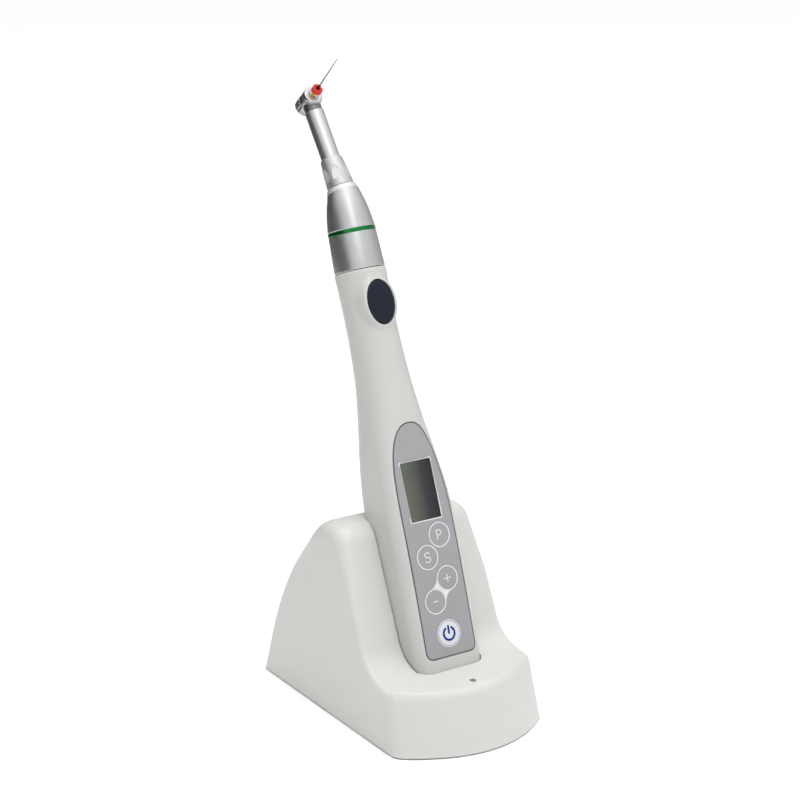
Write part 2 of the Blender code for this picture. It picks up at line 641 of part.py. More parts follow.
def make_body(handpiece):
    inner = body_loft("body_hollow", -BODY_WALL, -0.170, -0.0016, frame=handpiece, stations=6)
    boss_face = 0.0104
    for name, sign in (("front_shell", 1), ("rear_shell", -1)):
        shell = body_loft(name, 0.0, END_CAP_TOP, 0.0, "white_plastic", handpiece, stations=11)
        if sign == 1:
            rim = [TRIGGER_SEMI[0] + TRIGGER_RIM, TRIGGER_SEMI[1] + TRIGGER_RIM]
            surround = facing_front("trigger_surround", [oval(*rim, 24, (0, TRIGGER_Z))], -0.0050, -boss_face,
                                    frame=handpiece)
            join(shell, surround)
            cut(shell, inner)
            side = box("rear_half", (-0.03, SPLIT_Y, -0.2), (0.03, 0.03, 0.02), frame=handpiece)
            cut(shell, side)
            opening = oval(TRIGGER_SEMI[0] + TRIGGER_GAP, TRIGGER_SEMI[1] + TRIGGER_GAP, 24, (0, TRIGGER_Z))
            cut(shell, facing_front("trigger_opening", [opening], -0.0040, -0.0120, frame=handpiece))
            cut_panel_pocket(shell, handpiece)
            for number, z in enumerate(BODY_SCREW_Z, 1):
                front = -body_size(z)[1] + 0.0015
                back = SPLIT_Y - 0.0004
                post = rod(f"body_boss_{number}", BODY_BOSS, -back, -front, frame=handpiece,
                           location=(0, 0, z), rotation=(math.radians(90), 0, 0), steps=12)
                join(shell, post)
                cut(shell, rod(f"body_pilot_{number}", 0.0012, -0.010, 0.0030, frame=handpiece,
                               location=(0, 0, z), rotation=(math.radians(90), 0, 0), steps=10))
        else:
            cut(shell, inner)
            side = box("front_half", (-0.03, -0.03, -0.2), (0.03, SPLIT_Y + HAIRLINE, 0.02), frame=handpiece)
            cut(shell, side)
            for number, z in enumerate(BODY_SCREW_Z, 1):
                surface = body_size(z)[2]
                hole = [(0, -surface + 0.004), (0.0012, -surface + 0.004), (0.0012, -surface + 0.0011)]
                hole += [(0.0022, -surface + 0.0011), (0.0022, -surface - 0.002), (0, -surface - 0.002)]
                cut(shell, turned(f"body_screw_hole_{number}", hole, frame=handpiece, location=(0, 0, z),
                                  rotation=(math.radians(90), 0, 0), steps=12))
                head = -surface + 0.0009
                profile = [(0, head + 0.0110), (0.0009, head + 0.0110), (0.0009, head - 0.0001)]
                profile += [(0.0019, head - 0.0001), (0.0019, head - 0.0008), (0, head - 0.0008)]
                screw = turned(f"body_screw_{number}", profile, "zinc_steel", handpiece, (0, 0, z),
                               (math.radians(90), 0, 0), steps=12)
                cut(screw, box(f"body_slot_{number}", (-0.0014, surface - 0.0004, z - 0.0002),
                               (0.0014, surface + 0.0010, z + 0.0002), frame=handpiece))
        nose_hole = rod(f"nose_hole_{name}", NOSE_HOLE, -0.004, 0.004, frame=handpiece)
        cut(shell, nose_hole)


def cut_panel_pocket(shell, handpiece):
    """The shelf for the panel film, the display's window and the holes for the keys' stems."""
    outline = on_panel(panel_outline(0.00025))
    recess = facing_front("panel_pocket", [outline], -0.0050, -0.0200, frame=handpiece)
    floor = body_loft("panel_shelf", -PANEL_POCKET, -0.1640, -0.0480, frame=handpiece)
    cut(recess, floor)
    cut(shell, recess)
    low, high = (PANEL_FOOT + value for value in LCD_SPAN)
    left, right = LCD_X
    cut(shell, box("display_opening", (left + 0.0003, -0.0150, low + 0.0003),
                   (right - 0.0003, -0.0040, high - 0.0003), frame=handpiece))
    for name, (x, height, _) in KEYS.items():
        cut(shell, rod(f"{name}_stem_hole", KEY_STEM + GAP, 0.0040, 0.0150, frame=handpiece,
                       location=(x, 0, PANEL_FOOT + height), rotation=(math.radians(90), 0, 0), steps=10))


def make_panel(handpiece):
    skin_out = body_loft("film_face", -PANEL_SUNK, -0.1620, -0.0500, frame=handpiece)
    skin_in = body_loft("film_back", -PANEL_SUNK - PANEL_THICKNESS, -0.1640, -0.0480, frame=handpiece)
    outline = on_panel(panel_outline(0))
    film = facing_front("control_panel", [outline], -0.0050, -0.0180, "grey_film", handpiece)
    boolean(film, skin_out, "INTERSECT")
    cut(film, skin_in)
    low, high = (PANEL_FOOT + value for value in LCD_SPAN)
    left, right = LCD_X
    cut(film, box("display_cutout", (left, -0.02, low), (right, -0.004, high), frame=handpiece))
    display = box("lcd_display", (left + 0.0002, -0.0150, low + 0.0002), (right - 0.0002, -0.0040, high - 0.0002),
                  "display_glass", handpiece)
    boolean(display, skin_out, "INTERSECT")
    cut(display, skin_in)
    join(display, box("lcd_module", (left + 0.0006, -0.0113, low + 0.0006),
                      (right - 0.0006, BOARD_Y[0] - GAP, high - 0.0006), frame=handpiece))
    key_face = body_loft("key_face", 0.00002, -0.1620, -0.0500, frame=handpiece)
    key_back = body_loft("key_back", -PANEL_SUNK - KEY_THICKNESS, -0.1640, -0.0480, frame=handpiece)
    for name, (x, height, radius) in KEYS.items():
        z = PANEL_FOOT + height
        turn = (math.radians(90), 0, 0)
        cut(film, rod(f"{name}_hole", radius + KEY_GAP, 0.004, 0.016, frame=handpiece, location=(x, 0, z),
                      rotation=turn, steps=20))
        material = "power_key" if name == "key_power" else "grey_film"
        key = rod(name, radius, 0.004, 0.016, material, handpiece, (x, 0, z), turn, steps=20)
        boolean(key, key_face, "INTERSECT")
        cut(key, key_back)
        reach = body_size(z)[1]
        stem = rod(f"{name}_stem", KEY_STEM, -KEY_STEM_END, reach - PANEL_SUNK - 0.0003, frame=handpiece,
                   location=(x, 0, z), rotation=turn, steps=10)
        join(key, stem)


def make_electronics(handpiece):
    board = box("main_board", (-0.0095, BOARD_Y[0], BOARD_Z[0]), (0.0095, BOARD_Y[1], BOARD_Z[1]),
                "circuit_board", handpiece)
    for name, (x, height, _) in KEYS.items():
        switch = rod(f"{name}_switch", 0.0016, -BOARD_Y[1] - 0.0004, -SWITCH_TOP, frame=handpiece,
                     location=(x, 0, PANEL_FOOT + height), rotation=(math.radians(90), 0, 0), steps=8)
        join(board, switch)
    join(board, box("processor", (-0.004, -0.0058, -0.0800), (0.004, -0.0044, -0.0720), frame=handpiece))
    cell = [(0, BATTERY_Z[1]), (0.0026, BATTERY_Z[1]), (0.0026, BATTERY_Z[1] - 0.0012)]
    cell += [(BATTERY_RADIUS - 0.0006, BATTERY_Z[1] - 0.0012), (BATTERY_RADIUS, BATTERY_Z[1] - 0.0018)]
    cell += [(BATTERY_RADIUS, BATTERY_Z[0]), (0, BATTERY_Z[0])]
    turned("battery_cell", cell, "battery_wrap", handpiece, (0, BATTERY_Y, 0), steps=16)
    box("trigger_switch", (-0.0030, -0.0062, TRIGGER_Z - 0.0030), (0.0030, -0.0045, TRIGGER_Z + 0.0030),
        "black_plastic", handpiece)
    face = oval(*TRIGGER_SEMI, 24, (0, 0))
    button = plate("trigger_button", [face], TRIGGER_BACK - TRIGGER_FACE, "navy_rubber", handpiece,
                   (0, (TRIGGER_FACE + TRIGGER_BACK) / 2, TRIGGER_Z), (math.radians(90), 0, 0))
    edge = button.modifiers.new("soft edge", "BEVEL")
    edge.width = 0.0004
    edge.segments = 2
    edge.limit_method = "ANGLE"
    join(button, rod("trigger_stem", 0.0015, 0.0071, 0.0090, frame=handpiece, location=(0, 0, TRIGGER_Z),
                     rotation=(math.radians(90), 0, 0), steps=10))
    cap_rows = []
    for z, grow in ((-BODY_LENGTH, -0.0007), (-BODY_LENGTH + 0.0007, 0.0), (END_CAP_TOP - HAIRLINE, 0.0)):
        cap_rows.append([(x, y, z) for x, y in body_outline(z, grow)])
    cap = loft("end_cap", cap_rows, "white_plastic", handpiece)
    join(cap, body_loft("end_cap_plug", -BODY_WALL - GAP, END_CAP_TOP - 0.0010, END_CAP_TOP + 0.0030,
                        frame=handpiece, stations=2))
    for number, side in enumerate((-1, 1), 1):
        spot = (side * PIN_X, 0, 0)
        cut(cap, rod(f"pad_hole_{number}", 0.0021, -0.1645, -0.1612, frame=handpiece, location=spot,
                     steps=12))
        rod(f"charge_pad_{number}", 0.0018, -0.1633, -0.1615, "brass", handpiece, spot, steps=16)


def make_motor(handpiece):
    low, high = MOTOR_Z
    can = [(MOTOR_RADIUS, high), (MOTOR_RADIUS, low), (0.0033, low), (0.0033, low + 0.0015)]
    can += [(0.0061, low + 0.0015), (0.0061, high - 0.0015), (0.0033, high - 0.0015), (0.0033, high)]
    turned("motor_can", can, "zinc_steel", handpiece, steps=20, hollow=True)
    tube("motor_bearing_rear", 0.0030, 0.0013, low, low + 0.0018, "satin_steel", handpiece, steps=20)
    tube("motor_bearing_front", 0.0030, 0.0013, high - 0.0018, high, "satin_steel", handpiece, steps=20)
    rotor = [(0, 0.0128), (0.0016, 0.0128), (0.0018, 0.0126), (0.0018, 0.0100), (0.0010, 0.0094)]
    rotor += [(0.0010, high - 0.0024), (0.0052, high - 0.0030), (0.0052, low + 0.0030)]
    rotor += [(0.0010, low + 0.0024), (0.0010, low - 0.0008), (0, low - 0.0008)]
    rotor_item = turned("motor_rotor", rotor, "satin_steel", handpiece, steps=16)
    cut(rotor_item, box("rotor_slot", (-0.0020, -0.0004, 0.0114), (0.0020, 0.0004, 0.0140), frame=handpiece))
    nose = [(NOSE_RADIUS, NOSE_TOP), (NOSE_RADIUS, 0.0100), (NOSE_RADIUS - 0.0004, 0.0098)]
    nose += [(NOSE_RADIUS - 0.0004, 0.0080), (NOSE_RADIUS, 0.0078), (NOSE_RADIUS, 0.0004)]
    nose += [(0.0042, 0.0), (0.0042, -0.0019), (0.0078, -0.0019), (0.0078, -0.0042), (0.0042, -0.0050)]
    nose += [(0.0042, high + GAP), (0.0023, high + GAP), (0.0023, NOSE_TOP)]
    turned("motor_nose", nose, "satin_steel", handpiece, steps=16, hollow=True)
    tube("retaining_ring", 0.0044, NOSE_RADIUS - 0.0001, 0.0083, 0.0095, "black_rubber", handpiece, steps=24)


# ---------------------------------------------------------------- contra-angle

def toothed_outline(teeth, pitch_radius, addendum, dedendum, first_angle, share=0.36):
    """A gear's outline; share is the tooth's part of the pitch. A negative addendum points inwards."""
    pitch = 2 * math.pi / teeth
    points = []
    tip = pitch_radius + addendum
    root = pitch_radius - dedendum
    for tooth in range(teeth):
        centre = math.radians(first_angle) + tooth * pitch
        for radius, width in ((root, 1.35), (tip, 0.60)):
            points.append((radius, centre - pitch * share * width / 2))
        for radius, width in ((tip, 0.60), (root, 1.35)):
            points.append((radius, centre + pitch * share * width / 2))
    return [(radius * math.cos(angle), radius * math.sin(angle)) for radius, angle in points]


def make_gear_stage(handpiece):
    low, high = STAGE_Z
    middle, depth = (low + high) / 2, high - low
    module = GEAR_MODULE
    sun_radius = SUN_TEETH * module / 2
    planet_radius = PLANET_TEETH * module / 2
    ring_radius = RING_TEETH * module / 2
    addendum, dedendum = 0.80 * module, 1.15 * module
    inner = toothed_outline(RING_TEETH, ring_radius, -addendum, -dedendum, 0)
    plate("ring_gear", [circle(0.0072, 24), inner], depth, "brass", handpiece, (0, 0, middle))
    shaft = [(0, high + 0.0002), (0.0012, high + 0.0002), (0.0012, 0.0164), (0.0015, 0.0160)]
    shaft += [(0.0015, 0.0134), (0, 0.0134)]
    input_shaft = turned("input_shaft", shaft, "satin_steel", handpiece, steps=16)
    sun = plate("sun_teeth", [toothed_outline(SUN_TEETH, sun_radius, addendum, dedendum, 0)], depth - 0.0004,
                frame=handpiece, location=(0, 0, middle))
    join(input_shaft, sun)
    orbit = sun_radius + planet_radius
    teeth = toothed_outline(PLANET_TEETH, planet_radius, addendum, dedendum, 15)
    disc = [(0, 0.0305), (0.0012, 0.0305), (0.0014, 0.0303), (0.0014, 0.0245), (0.0050, 0.0242)]
    disc += [(0.0050, 0.0230), (0, 0.0230)]
    carrier = turned("planet_carrier", disc, "satin_steel", handpiece, steps=16)
    for number, angle in enumerate(PLANET_ANGLES, 1):
        turn = math.radians(angle)
        spot = (orbit * math.cos(turn), orbit * math.sin(turn), middle)
        plate(f"planet_gear_{number}", [teeth, circle(0.0009, 12)], depth - 0.0004, "brass", handpiece, spot)
        join(carrier, rod(f"planet_pin_{number}", 0.0006, low + 0.0004, 0.0235, frame=handpiece,
                          location=(spot[0], spot[1], 0), steps=8))


def make_sheath(handpiece, neck):
    sleeve = [(SLEEVE_RADII[1], SLEEVE_TOP), (SLEEVE_RADII[0], 0.0008), (SLEEVE_RADII[0] - 0.0004, 0.0003)]
    sleeve += [(0.0049, 0.0003), (0.0049, 0.0148), (0.0070, 0.0148), (0.0070, 0.0173), (0.0083, 0.0173)]
    sleeve += [(0.0083, SLEEVE_TOP)]
    turned("rear_sleeve", sleeve, "satin_steel", handpiece, steps=24, hollow=True)
    tube("reduction_ring", RING_RADIUS, 0.0086, SLEEVE_TOP + HAIRLINE, SHEATH_FOOT - HAIRLINE, "green_ring",
         handpiece, steps=24)
    rows = [[(x, y, z) for x, y in circle(radius, 24)] for z, radius in SHEATH_ROWS]
    bend = math.radians(NECK_BEND)
    height, radius = SHEATH_MOUTH
    mouth = []
    for x, y in circle(radius, 24):
        up = height * math.cos(bend) - y * math.sin(bend)
        back = height * math.sin(bend) + y * math.cos(bend)
        mouth.append((x, NECK_FOOT[1] + back, NECK_FOOT[2] + up))
    sheath = loft("sheath", rows + [mouth], "satin_steel", handpiece)
    bore = [(0, 0.0300), (0.0053, 0.0300), (0.0058, 0.0285), (0.0075, 0.0232), (0.0075, 0.0178)]
    bore += [(0.0086, 0.0178), (0.0086, 0.0150), (0, 0.0150)]
    cut(sheath, turned("sheath_bore", bore, frame=handpiece, steps=20))
    cut(sheath, rod("sheath_throat", 0.0024, -0.006, 0.006, frame=neck, steps=16))


def make_neck(neck, head):
    grip = [(0.0040, 0.0138), (0.0043, 0.0134), (0.0046, 0.0115), (0.0051, 0.0070), (0.0054, 0.0015)]
    grip += [(0.0040, 0.0015)]
    collar = turned("grip_collar", grip, "satin_steel", neck, steps=24, hollow=True)
    for number in range(6):
        turn = math.radians(30 + 60 * number)
        spot = (0.0066 * math.sin(turn), -0.0066 * math.cos(turn), 0.0066)
        scoop = oval(0.0019, 0.0028, 8)
        cut(collar, plate(f"grip_scoop_{number}", [scoop], 0.0032, frame=neck, location=spot,
                          rotation=(math.radians(90), 0, turn)))
    head_z = HEAD_DISTANCE
    tube_item = tube("neck_tube", NECK_RADIUS, 0.0030, 0.0024, head_z - 0.0010, "satin_steel", neck, steps=20)
    cut(tube_item, rod("head_saddle", HEAD_RADIUS + 0.0002, -0.012, 0.012, frame=head, steps=24))
    shaft = [(0, head_z - 0.0026), (0.0012, head_z - 0.0026), (0.0012, 0.0030), (0, 0.0030)]
    neck_shaft = turned("neck_shaft", shaft, "satin_steel", neck, steps=16)
    join(neck_shaft, bevel_gear("neck_pinion", neck, (0, 0, head_z), 90))


def bevel_gear(name, frame, apex, first_angle):
    """A bevel gear below its cones' apex, both gears of the pair having the same cone angle."""
    half_angle = math.radians(HEAD_TURN / 2)
    rows = []
    for pitch_radius in BEVEL_RADII:
        module = 2 * pitch_radius / BEVEL_TEETH
        outline = toothed_outline(BEVEL_TEETH, pitch_radius, 0.5 * module, 0.75 * module, first_angle, 0.33)
        rows.append([(x, y, -pitch_radius / math.tan(half_angle)) for x, y in outline])
    return loft(name, rows, frame=frame, location=apex)


def make_head(neck, head):
    face, back = HEAD_FACE, HEAD_BACK
    housing = [(0.0021, face), (HEAD_RADIUS - 0.0006, face), (HEAD_RADIUS - 0.0002, face - 0.0002)]
    housing += [(HEAD_RADIUS, face - 0.0006), (HEAD_RADIUS, back), (0.0033, back), (0.0033, face - 0.0007)]
    housing += [(0.0021, face - 0.0007)]
    body = turned("head_housing", housing, "satin_steel", head, steps=24, hollow=True)
    cut(body, rod("pinion_opening", 0.0030, HEAD_DISTANCE - 0.0060, HEAD_DISTANCE - 0.0004, frame=neck,
                  steps=20))
    low, high = BACK_RING_Z
    ring = tube("head_back_ring", BACK_RING_RADIUS, 0.0031, low, high, "satin_steel", head, steps=24)
    for number in range(12):
        turn = math.radians(30 * number)
        reach = BACK_RING_RADIUS + 0.0003
        spot = (reach * math.cos(turn), reach * math.sin(turn), 0)
        cut(ring, rod(f"ring_flute_{number}", 0.0006, low - 0.001, high + 0.001, frame=head,
                      location=spot, steps=8))
    button = [(0, low + 0.0016), (0.0026, low + 0.0016), (0.0028, low + 0.0014), (0.0028, low)]
    button += [(0.0023, low - 0.0002), (0, low - 0.0002)]
    turned("push_button", button, "satin_steel", head, steps=16)
    spindle = [(0, -0.0028), (0.0013, -0.0028), (0.0013, face - 0.0001), (0.0016, face - 0.0001)]
    spindle += [(0.0016, -0.0033), (0, -0.0033)]
    chuck = turned("chuck_spindle", spindle, "satin_steel", head, steps=20)
    gear = bevel_gear("chuck_gear", head, (0, 0, 0), -90 + 180 / BEVEL_TEETH)
    cut(gear, rod("gear_bore", 0.00145, -0.0060, 0.0, frame=head, steps=20))
    join(chuck, gear)


def make_file(head):
    low, high = SHANK_Z
    shank = [(0, high), (0.0007, high), (0.0010, high - 0.0003), (0.0010, high - 0.0009)]
    shank += [(SHANK_RADIUS, high - 0.0011), (SHANK_RADIUS, high - 0.0040), (0.0009, high - 0.0042)]
    shank += [(0.0009, high - 0.0047), (SHANK_RADIUS, high - 0.0049), (SHANK_RADIUS, low + 0.0002)]
    shank += [(SHANK_RADIUS - 0.0002, low), (0, low)]
    handle = turned("file_shank", shank, "brass", head, steps=16)
    cut(handle, rod("file_socket", 0.00065, high - 0.0030, high + 0.001, frame=head, steps=8))
    start, flutes = high - 0.0026, 20
    rows = []
    for i in range(flutes + 1):
        z = start + (FILE_TIP - start) * i / flutes
        radius = 0.00034 - 0.00024 * i / flutes
        twist = 0.0 if z < 0.0095 else (z - 0.0095) * 2200
        corners = []
        for corner in range(6):
            angle = corner * math.pi / 3 + twist
            reach = radius if corner % 2 == 0 else radius * 0.72
            corners.append((reach * math.cos(angle), reach * math.sin(angle), z))
        rows.append(corners)
    loft("file_blade", rows, "blue_nickel_titanium", head)
    low, high = STOPPER_Z
    stop = [(STOPPER_RADIUS - 0.0003, high), (STOPPER_RADIUS, high - 0.0003), (STOPPER_RADIUS, low + 0.0003)]
    stop += [(STOPPER_RADIUS - 0.0003, low), (0.00055, low), (0.00055, high)]
    turned("file_stopper", stop, "red_silicone", head, steps=16, hollow=True)


# ---------------------------------------------------------------- assembly

empty_scene()
PARTS = new_collection("endodontic_motor")
CUTTERS = new_collection("cutters")
make_materials()
handpiece_frame = new_frame("handpiece_frame", None, HANDPIECE_TOP, -HANDPIECE_LEAN)
neck_frame = new_frame("neck_frame", handpiece_frame, NECK_FOOT, -NECK_BEND)
head_frame = new_frame("head_frame", neck_frame, (0, 0, HEAD_DISTANCE), HEAD_TURN)
make_base(handpiece_frame)
make_body(handpiece_frame)
make_panel(handpiece_frame)
make_electronics(handpiece_frame)
make_motor(handpiece_frame)
make_gear_stage(handpiece_frame)
make_sheath(handpiece_frame, neck_frame)
make_neck(neck_frame, head_frame)
make_head(neck_frame, head_frame)
make_file(head_frame)
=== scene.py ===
"""Endodontic motor in its charging base: fine surfaces, materials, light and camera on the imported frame."""

import json
import math

import bmesh
import bpy
from mathutils import Matrix, Vector
from mathutils.geometry import delaunay_2d_cdt

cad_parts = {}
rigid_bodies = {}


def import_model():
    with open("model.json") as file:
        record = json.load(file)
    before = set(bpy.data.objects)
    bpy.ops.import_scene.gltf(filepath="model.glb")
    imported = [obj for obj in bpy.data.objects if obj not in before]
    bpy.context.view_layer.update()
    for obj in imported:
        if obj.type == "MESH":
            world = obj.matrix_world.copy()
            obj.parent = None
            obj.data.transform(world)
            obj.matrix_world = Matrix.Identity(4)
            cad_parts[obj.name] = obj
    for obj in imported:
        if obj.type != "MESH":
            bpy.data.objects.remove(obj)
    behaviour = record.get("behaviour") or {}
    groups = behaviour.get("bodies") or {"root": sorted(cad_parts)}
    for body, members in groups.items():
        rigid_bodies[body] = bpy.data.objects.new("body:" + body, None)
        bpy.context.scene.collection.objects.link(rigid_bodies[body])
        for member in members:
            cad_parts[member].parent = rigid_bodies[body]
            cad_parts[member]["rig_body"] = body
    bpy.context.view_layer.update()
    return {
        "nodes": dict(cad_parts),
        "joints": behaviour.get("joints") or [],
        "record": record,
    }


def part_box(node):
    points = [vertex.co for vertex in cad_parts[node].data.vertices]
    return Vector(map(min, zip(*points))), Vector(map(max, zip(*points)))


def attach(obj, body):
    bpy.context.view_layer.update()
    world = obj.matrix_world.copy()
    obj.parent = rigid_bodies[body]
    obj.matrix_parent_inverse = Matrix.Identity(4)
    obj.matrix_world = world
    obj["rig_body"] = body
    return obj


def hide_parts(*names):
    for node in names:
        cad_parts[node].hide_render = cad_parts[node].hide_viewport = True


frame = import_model()
JOINTS = {joint["name"]: joint for joint in frame["joints"]}
BODY_OF = {node: item["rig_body"] for node, item in frame["nodes"].items()}


def joint_frame(name, along=0.0):
    """A frame whose +Z is a joint's axis and whose +X is the row's, moved back along the axis."""
    up = Vector(JOINTS[name]["axis"]).normalized()
    across = Vector((1, 0, 0))
    matrix = Matrix((across, up.cross(across), up)).transposed().to_4x4()
    matrix.translation = Vector(JOINTS[name]["pos_m"]) - up * along
    return matrix


WORLD = Matrix.Identity(4)
HAND = joint_frame("contra_angle_swivel", 0.0089)   # origin where the white body meets the sleeve
NECK = joint_frame("neck_spin")
HEAD = joint_frame("chuck_spin")                     # +Z along the file


# ---------------------------------------------------------------- materials

def material(name, build):
    made = bpy.data.materials.new(name)
    made.use_nodes = True
    tree = made.node_tree
    build(tree, tree.nodes["Principled BSDF"])
    return made


def link(tree, source, target):
    tree.links.new(source, target)


def node(tree, kind, **inputs):
    made = tree.nodes.new(kind)
    for key, value in inputs.items():
        made.inputs[key.replace("_", " ")].default_value = value
    return made


def coords(tree, axes=None):
    """Object coordinates, or with axes a matrix's local ones."""
    source = tree.nodes.new("ShaderNodeTexCoord").outputs["Object"]
    if axes is None:
        return source
    back = axes.inverted()
    mapping = tree.nodes.new("ShaderNodeMapping")
    mapping.inputs["Location"].default_value = back.translation
    mapping.inputs["Rotation"].default_value = back.to_euler()
    link(tree, source, mapping.inputs["Vector"])
    return mapping.outputs["Vector"]


def ramp(tree, source, stops):
    made = tree.nodes.new("ShaderNodeValToRGB")
    points = made.color_ramp.elements
    while len(points) < len(stops):
        points.new(0.5)
    for point, (place, colour) in zip(points, stops):
        point.position = place
        point.color = (*colour, 1) if hasattr(colour, "__len__") else (colour, colour, colour, 1)
    link(tree, source, made.inputs["Fac"])
    return made.outputs["Color"]


def noise(tree, where, scale, detail=3.0, rough=0.55, stretch=None):
    if stretch:
        mapping = tree.nodes.new("ShaderNodeMapping")
        mapping.inputs["Scale"].default_value = stretch
        link(tree, where, mapping.inputs["Vector"])
        where = mapping.outputs["Vector"]
    made = node(tree, "ShaderNodeTexNoise", Scale=scale, Detail=detail, Roughness=rough)
    link(tree, where, made.inputs["Vector"])
    return made.outputs["Fac"]


def bump(tree, height, distance, strength=1.0, under=None):
    made = node(tree, "ShaderNodeBump", Strength=strength, Distance=distance)
    link(tree, height, made.inputs["Height"])
    if under is not None:
        link(tree, under, made.inputs["Normal"])
    return made.outputs["Normal"]


def tint(colour, factor):
    return tuple(min(1.0, c * factor) for c in colour)


def moulded(name, colour, rough, vary=0.05, grain=3200, depth=6e-6, broad=45, coat=0.0, wave=0.0, gloss=0.5):
    """Moulded plastic or rubber: clouded colour, a fine sparked texture and an uneven sheen."""
    def build(tree, shader):
        where = coords(tree)
        clouds = noise(tree, where, broad, 4)
        link(tree, ramp(tree, clouds, [(0.3, tint(colour, 1 - vary)), (0.7, tint(colour, 1 + vary))]),
             shader.inputs["Base Color"])
        sheen = noise(tree, where, broad * 6, 3)
        link(tree, ramp(tree, sheen, [(0.3, rough - 0.05), (0.7, rough + 0.05)]), shader.inputs["Roughness"])
        normal = bump(tree, noise(tree, where, grain, 2), depth)
        if wave:
            normal = bump(tree, noise(tree, where, 60, 1), wave, under=normal)
        link(tree, normal, shader.inputs["Normal"])
        shader.inputs["Specular IOR Level"].default_value = gloss
        shader.inputs["Coat Weight"].default_value = coat
        shader.inputs["Coat Roughness"].default_value = 0.12
    return material(name, build)


def metal(name, colour, rough, axes, rings=9000, depth=2.5e-6, vary=0.06, streak=0.06):
    """Turned metal: fine rings about the piece's axis, cloudy sheen and faint handling marks."""
    def build(tree, shader):
        where = coords(tree, axes)
        lathe_marks = noise(tree, where, 1.0, 4, 0.7, stretch=(120, 120, rings))
        clouds = noise(tree, where, 190, 4)
        link(tree, ramp(tree, clouds, [(0.3, tint(colour, 1 - vary)), (0.7, tint(colour, 1 + vary))]),
             shader.inputs["Base Color"])
        link(tree, ramp(tree, lathe_marks, [(0.3, rough - streak), (0.7, rough + streak)]),
             shader.inputs["Roughness"])
        grain = bump(tree, noise(tree, where, 5200, 2), depth * 0.6)
        link(tree, bump(tree, lathe_marks, depth, under=grain), shader.inputs["Normal"])
        shader.inputs["Metallic"].default_value = 1.0
    return material(name, build)


def build_display(tree, shader):
    """An unlit display under a clear window: greenish on one side, nearly black on the other."""
    where = coords(tree, HAND)
    split = tree.nodes.new("ShaderNodeSeparateXYZ")
    link(tree, where, split.inputs["Vector"])
    cloudy = node(tree, "ShaderNodeMath")
    cloudy.operation = "MULTIPLY_ADD"
    link(tree, noise(tree, where, 90, 2), cloudy.inputs[0])
    cloudy.inputs[1].default_value = 0.16
    cloudy.inputs[2].default_value = 0.47
    mixed = node(tree, "ShaderNodeMath")
    mixed.operation = "MULTIPLY_ADD"
    link(tree, split.outputs["X"], mixed.inputs[0])
    mixed.inputs[1].default_value = 71.4
    link(tree, cloudy.outputs["Value"], mixed.inputs[2])
    stops = [(0.05, (0.094, 0.106, 0.082)), (0.35, (0.068, 0.074, 0.060)), (0.65, (0.026, 0.024, 0.027)),
             (0.95, (0.010, 0.008, 0.011))]
    link(tree, ramp(tree, mixed.outputs["Value"], stops), shader.inputs["Base Color"])
    link(tree, ramp(tree, noise(tree, where, 420, 3), [(0.3, 0.16), (0.7, 0.24)]), shader.inputs["Roughness"])
    cells = tree.nodes.new("ShaderNodeTexChecker")
    cells.inputs["Scale"].default_value = 1400
    link(tree, where, cells.inputs["Vector"])
    link(tree, bump(tree, cells.outputs["Fac"], 1.5e-6, 0.5), shader.inputs["Normal"])
    shader.inputs["Specular IOR Level"].default_value = 0.35
    shader.inputs["Coat Weight"].default_value = 0.25
    shader.inputs["Coat Roughness"].default_value = 0.05


def build_board(tree, shader):
    where = coords(tree, HAND)
    tracks = node(tree, "ShaderNodeTexBrick", Scale=260.0)
    tracks.inputs["Mortar Size"].default_value = 0.03
    tracks.inputs["Color1"].default_value = (0.012, 0.12, 0.045, 1)
    tracks.inputs["Color2"].default_value = (0.018, 0.16, 0.060, 1)
    tracks.inputs["Mortar"].default_value = (0.06, 0.30, 0.12, 1)
    link(tree, where, tracks.inputs["Vector"])
    link(tree, tracks.outputs["Color"], shader.inputs["Base Color"])
    link(tree, bump(tree, tracks.outputs["Fac"], 2e-5), shader.inputs["Normal"])
    link(tree, ramp(tree, noise(tree, where, 300), [(0.3, 0.35), (0.7, 0.5)]), shader.inputs["Roughness"])


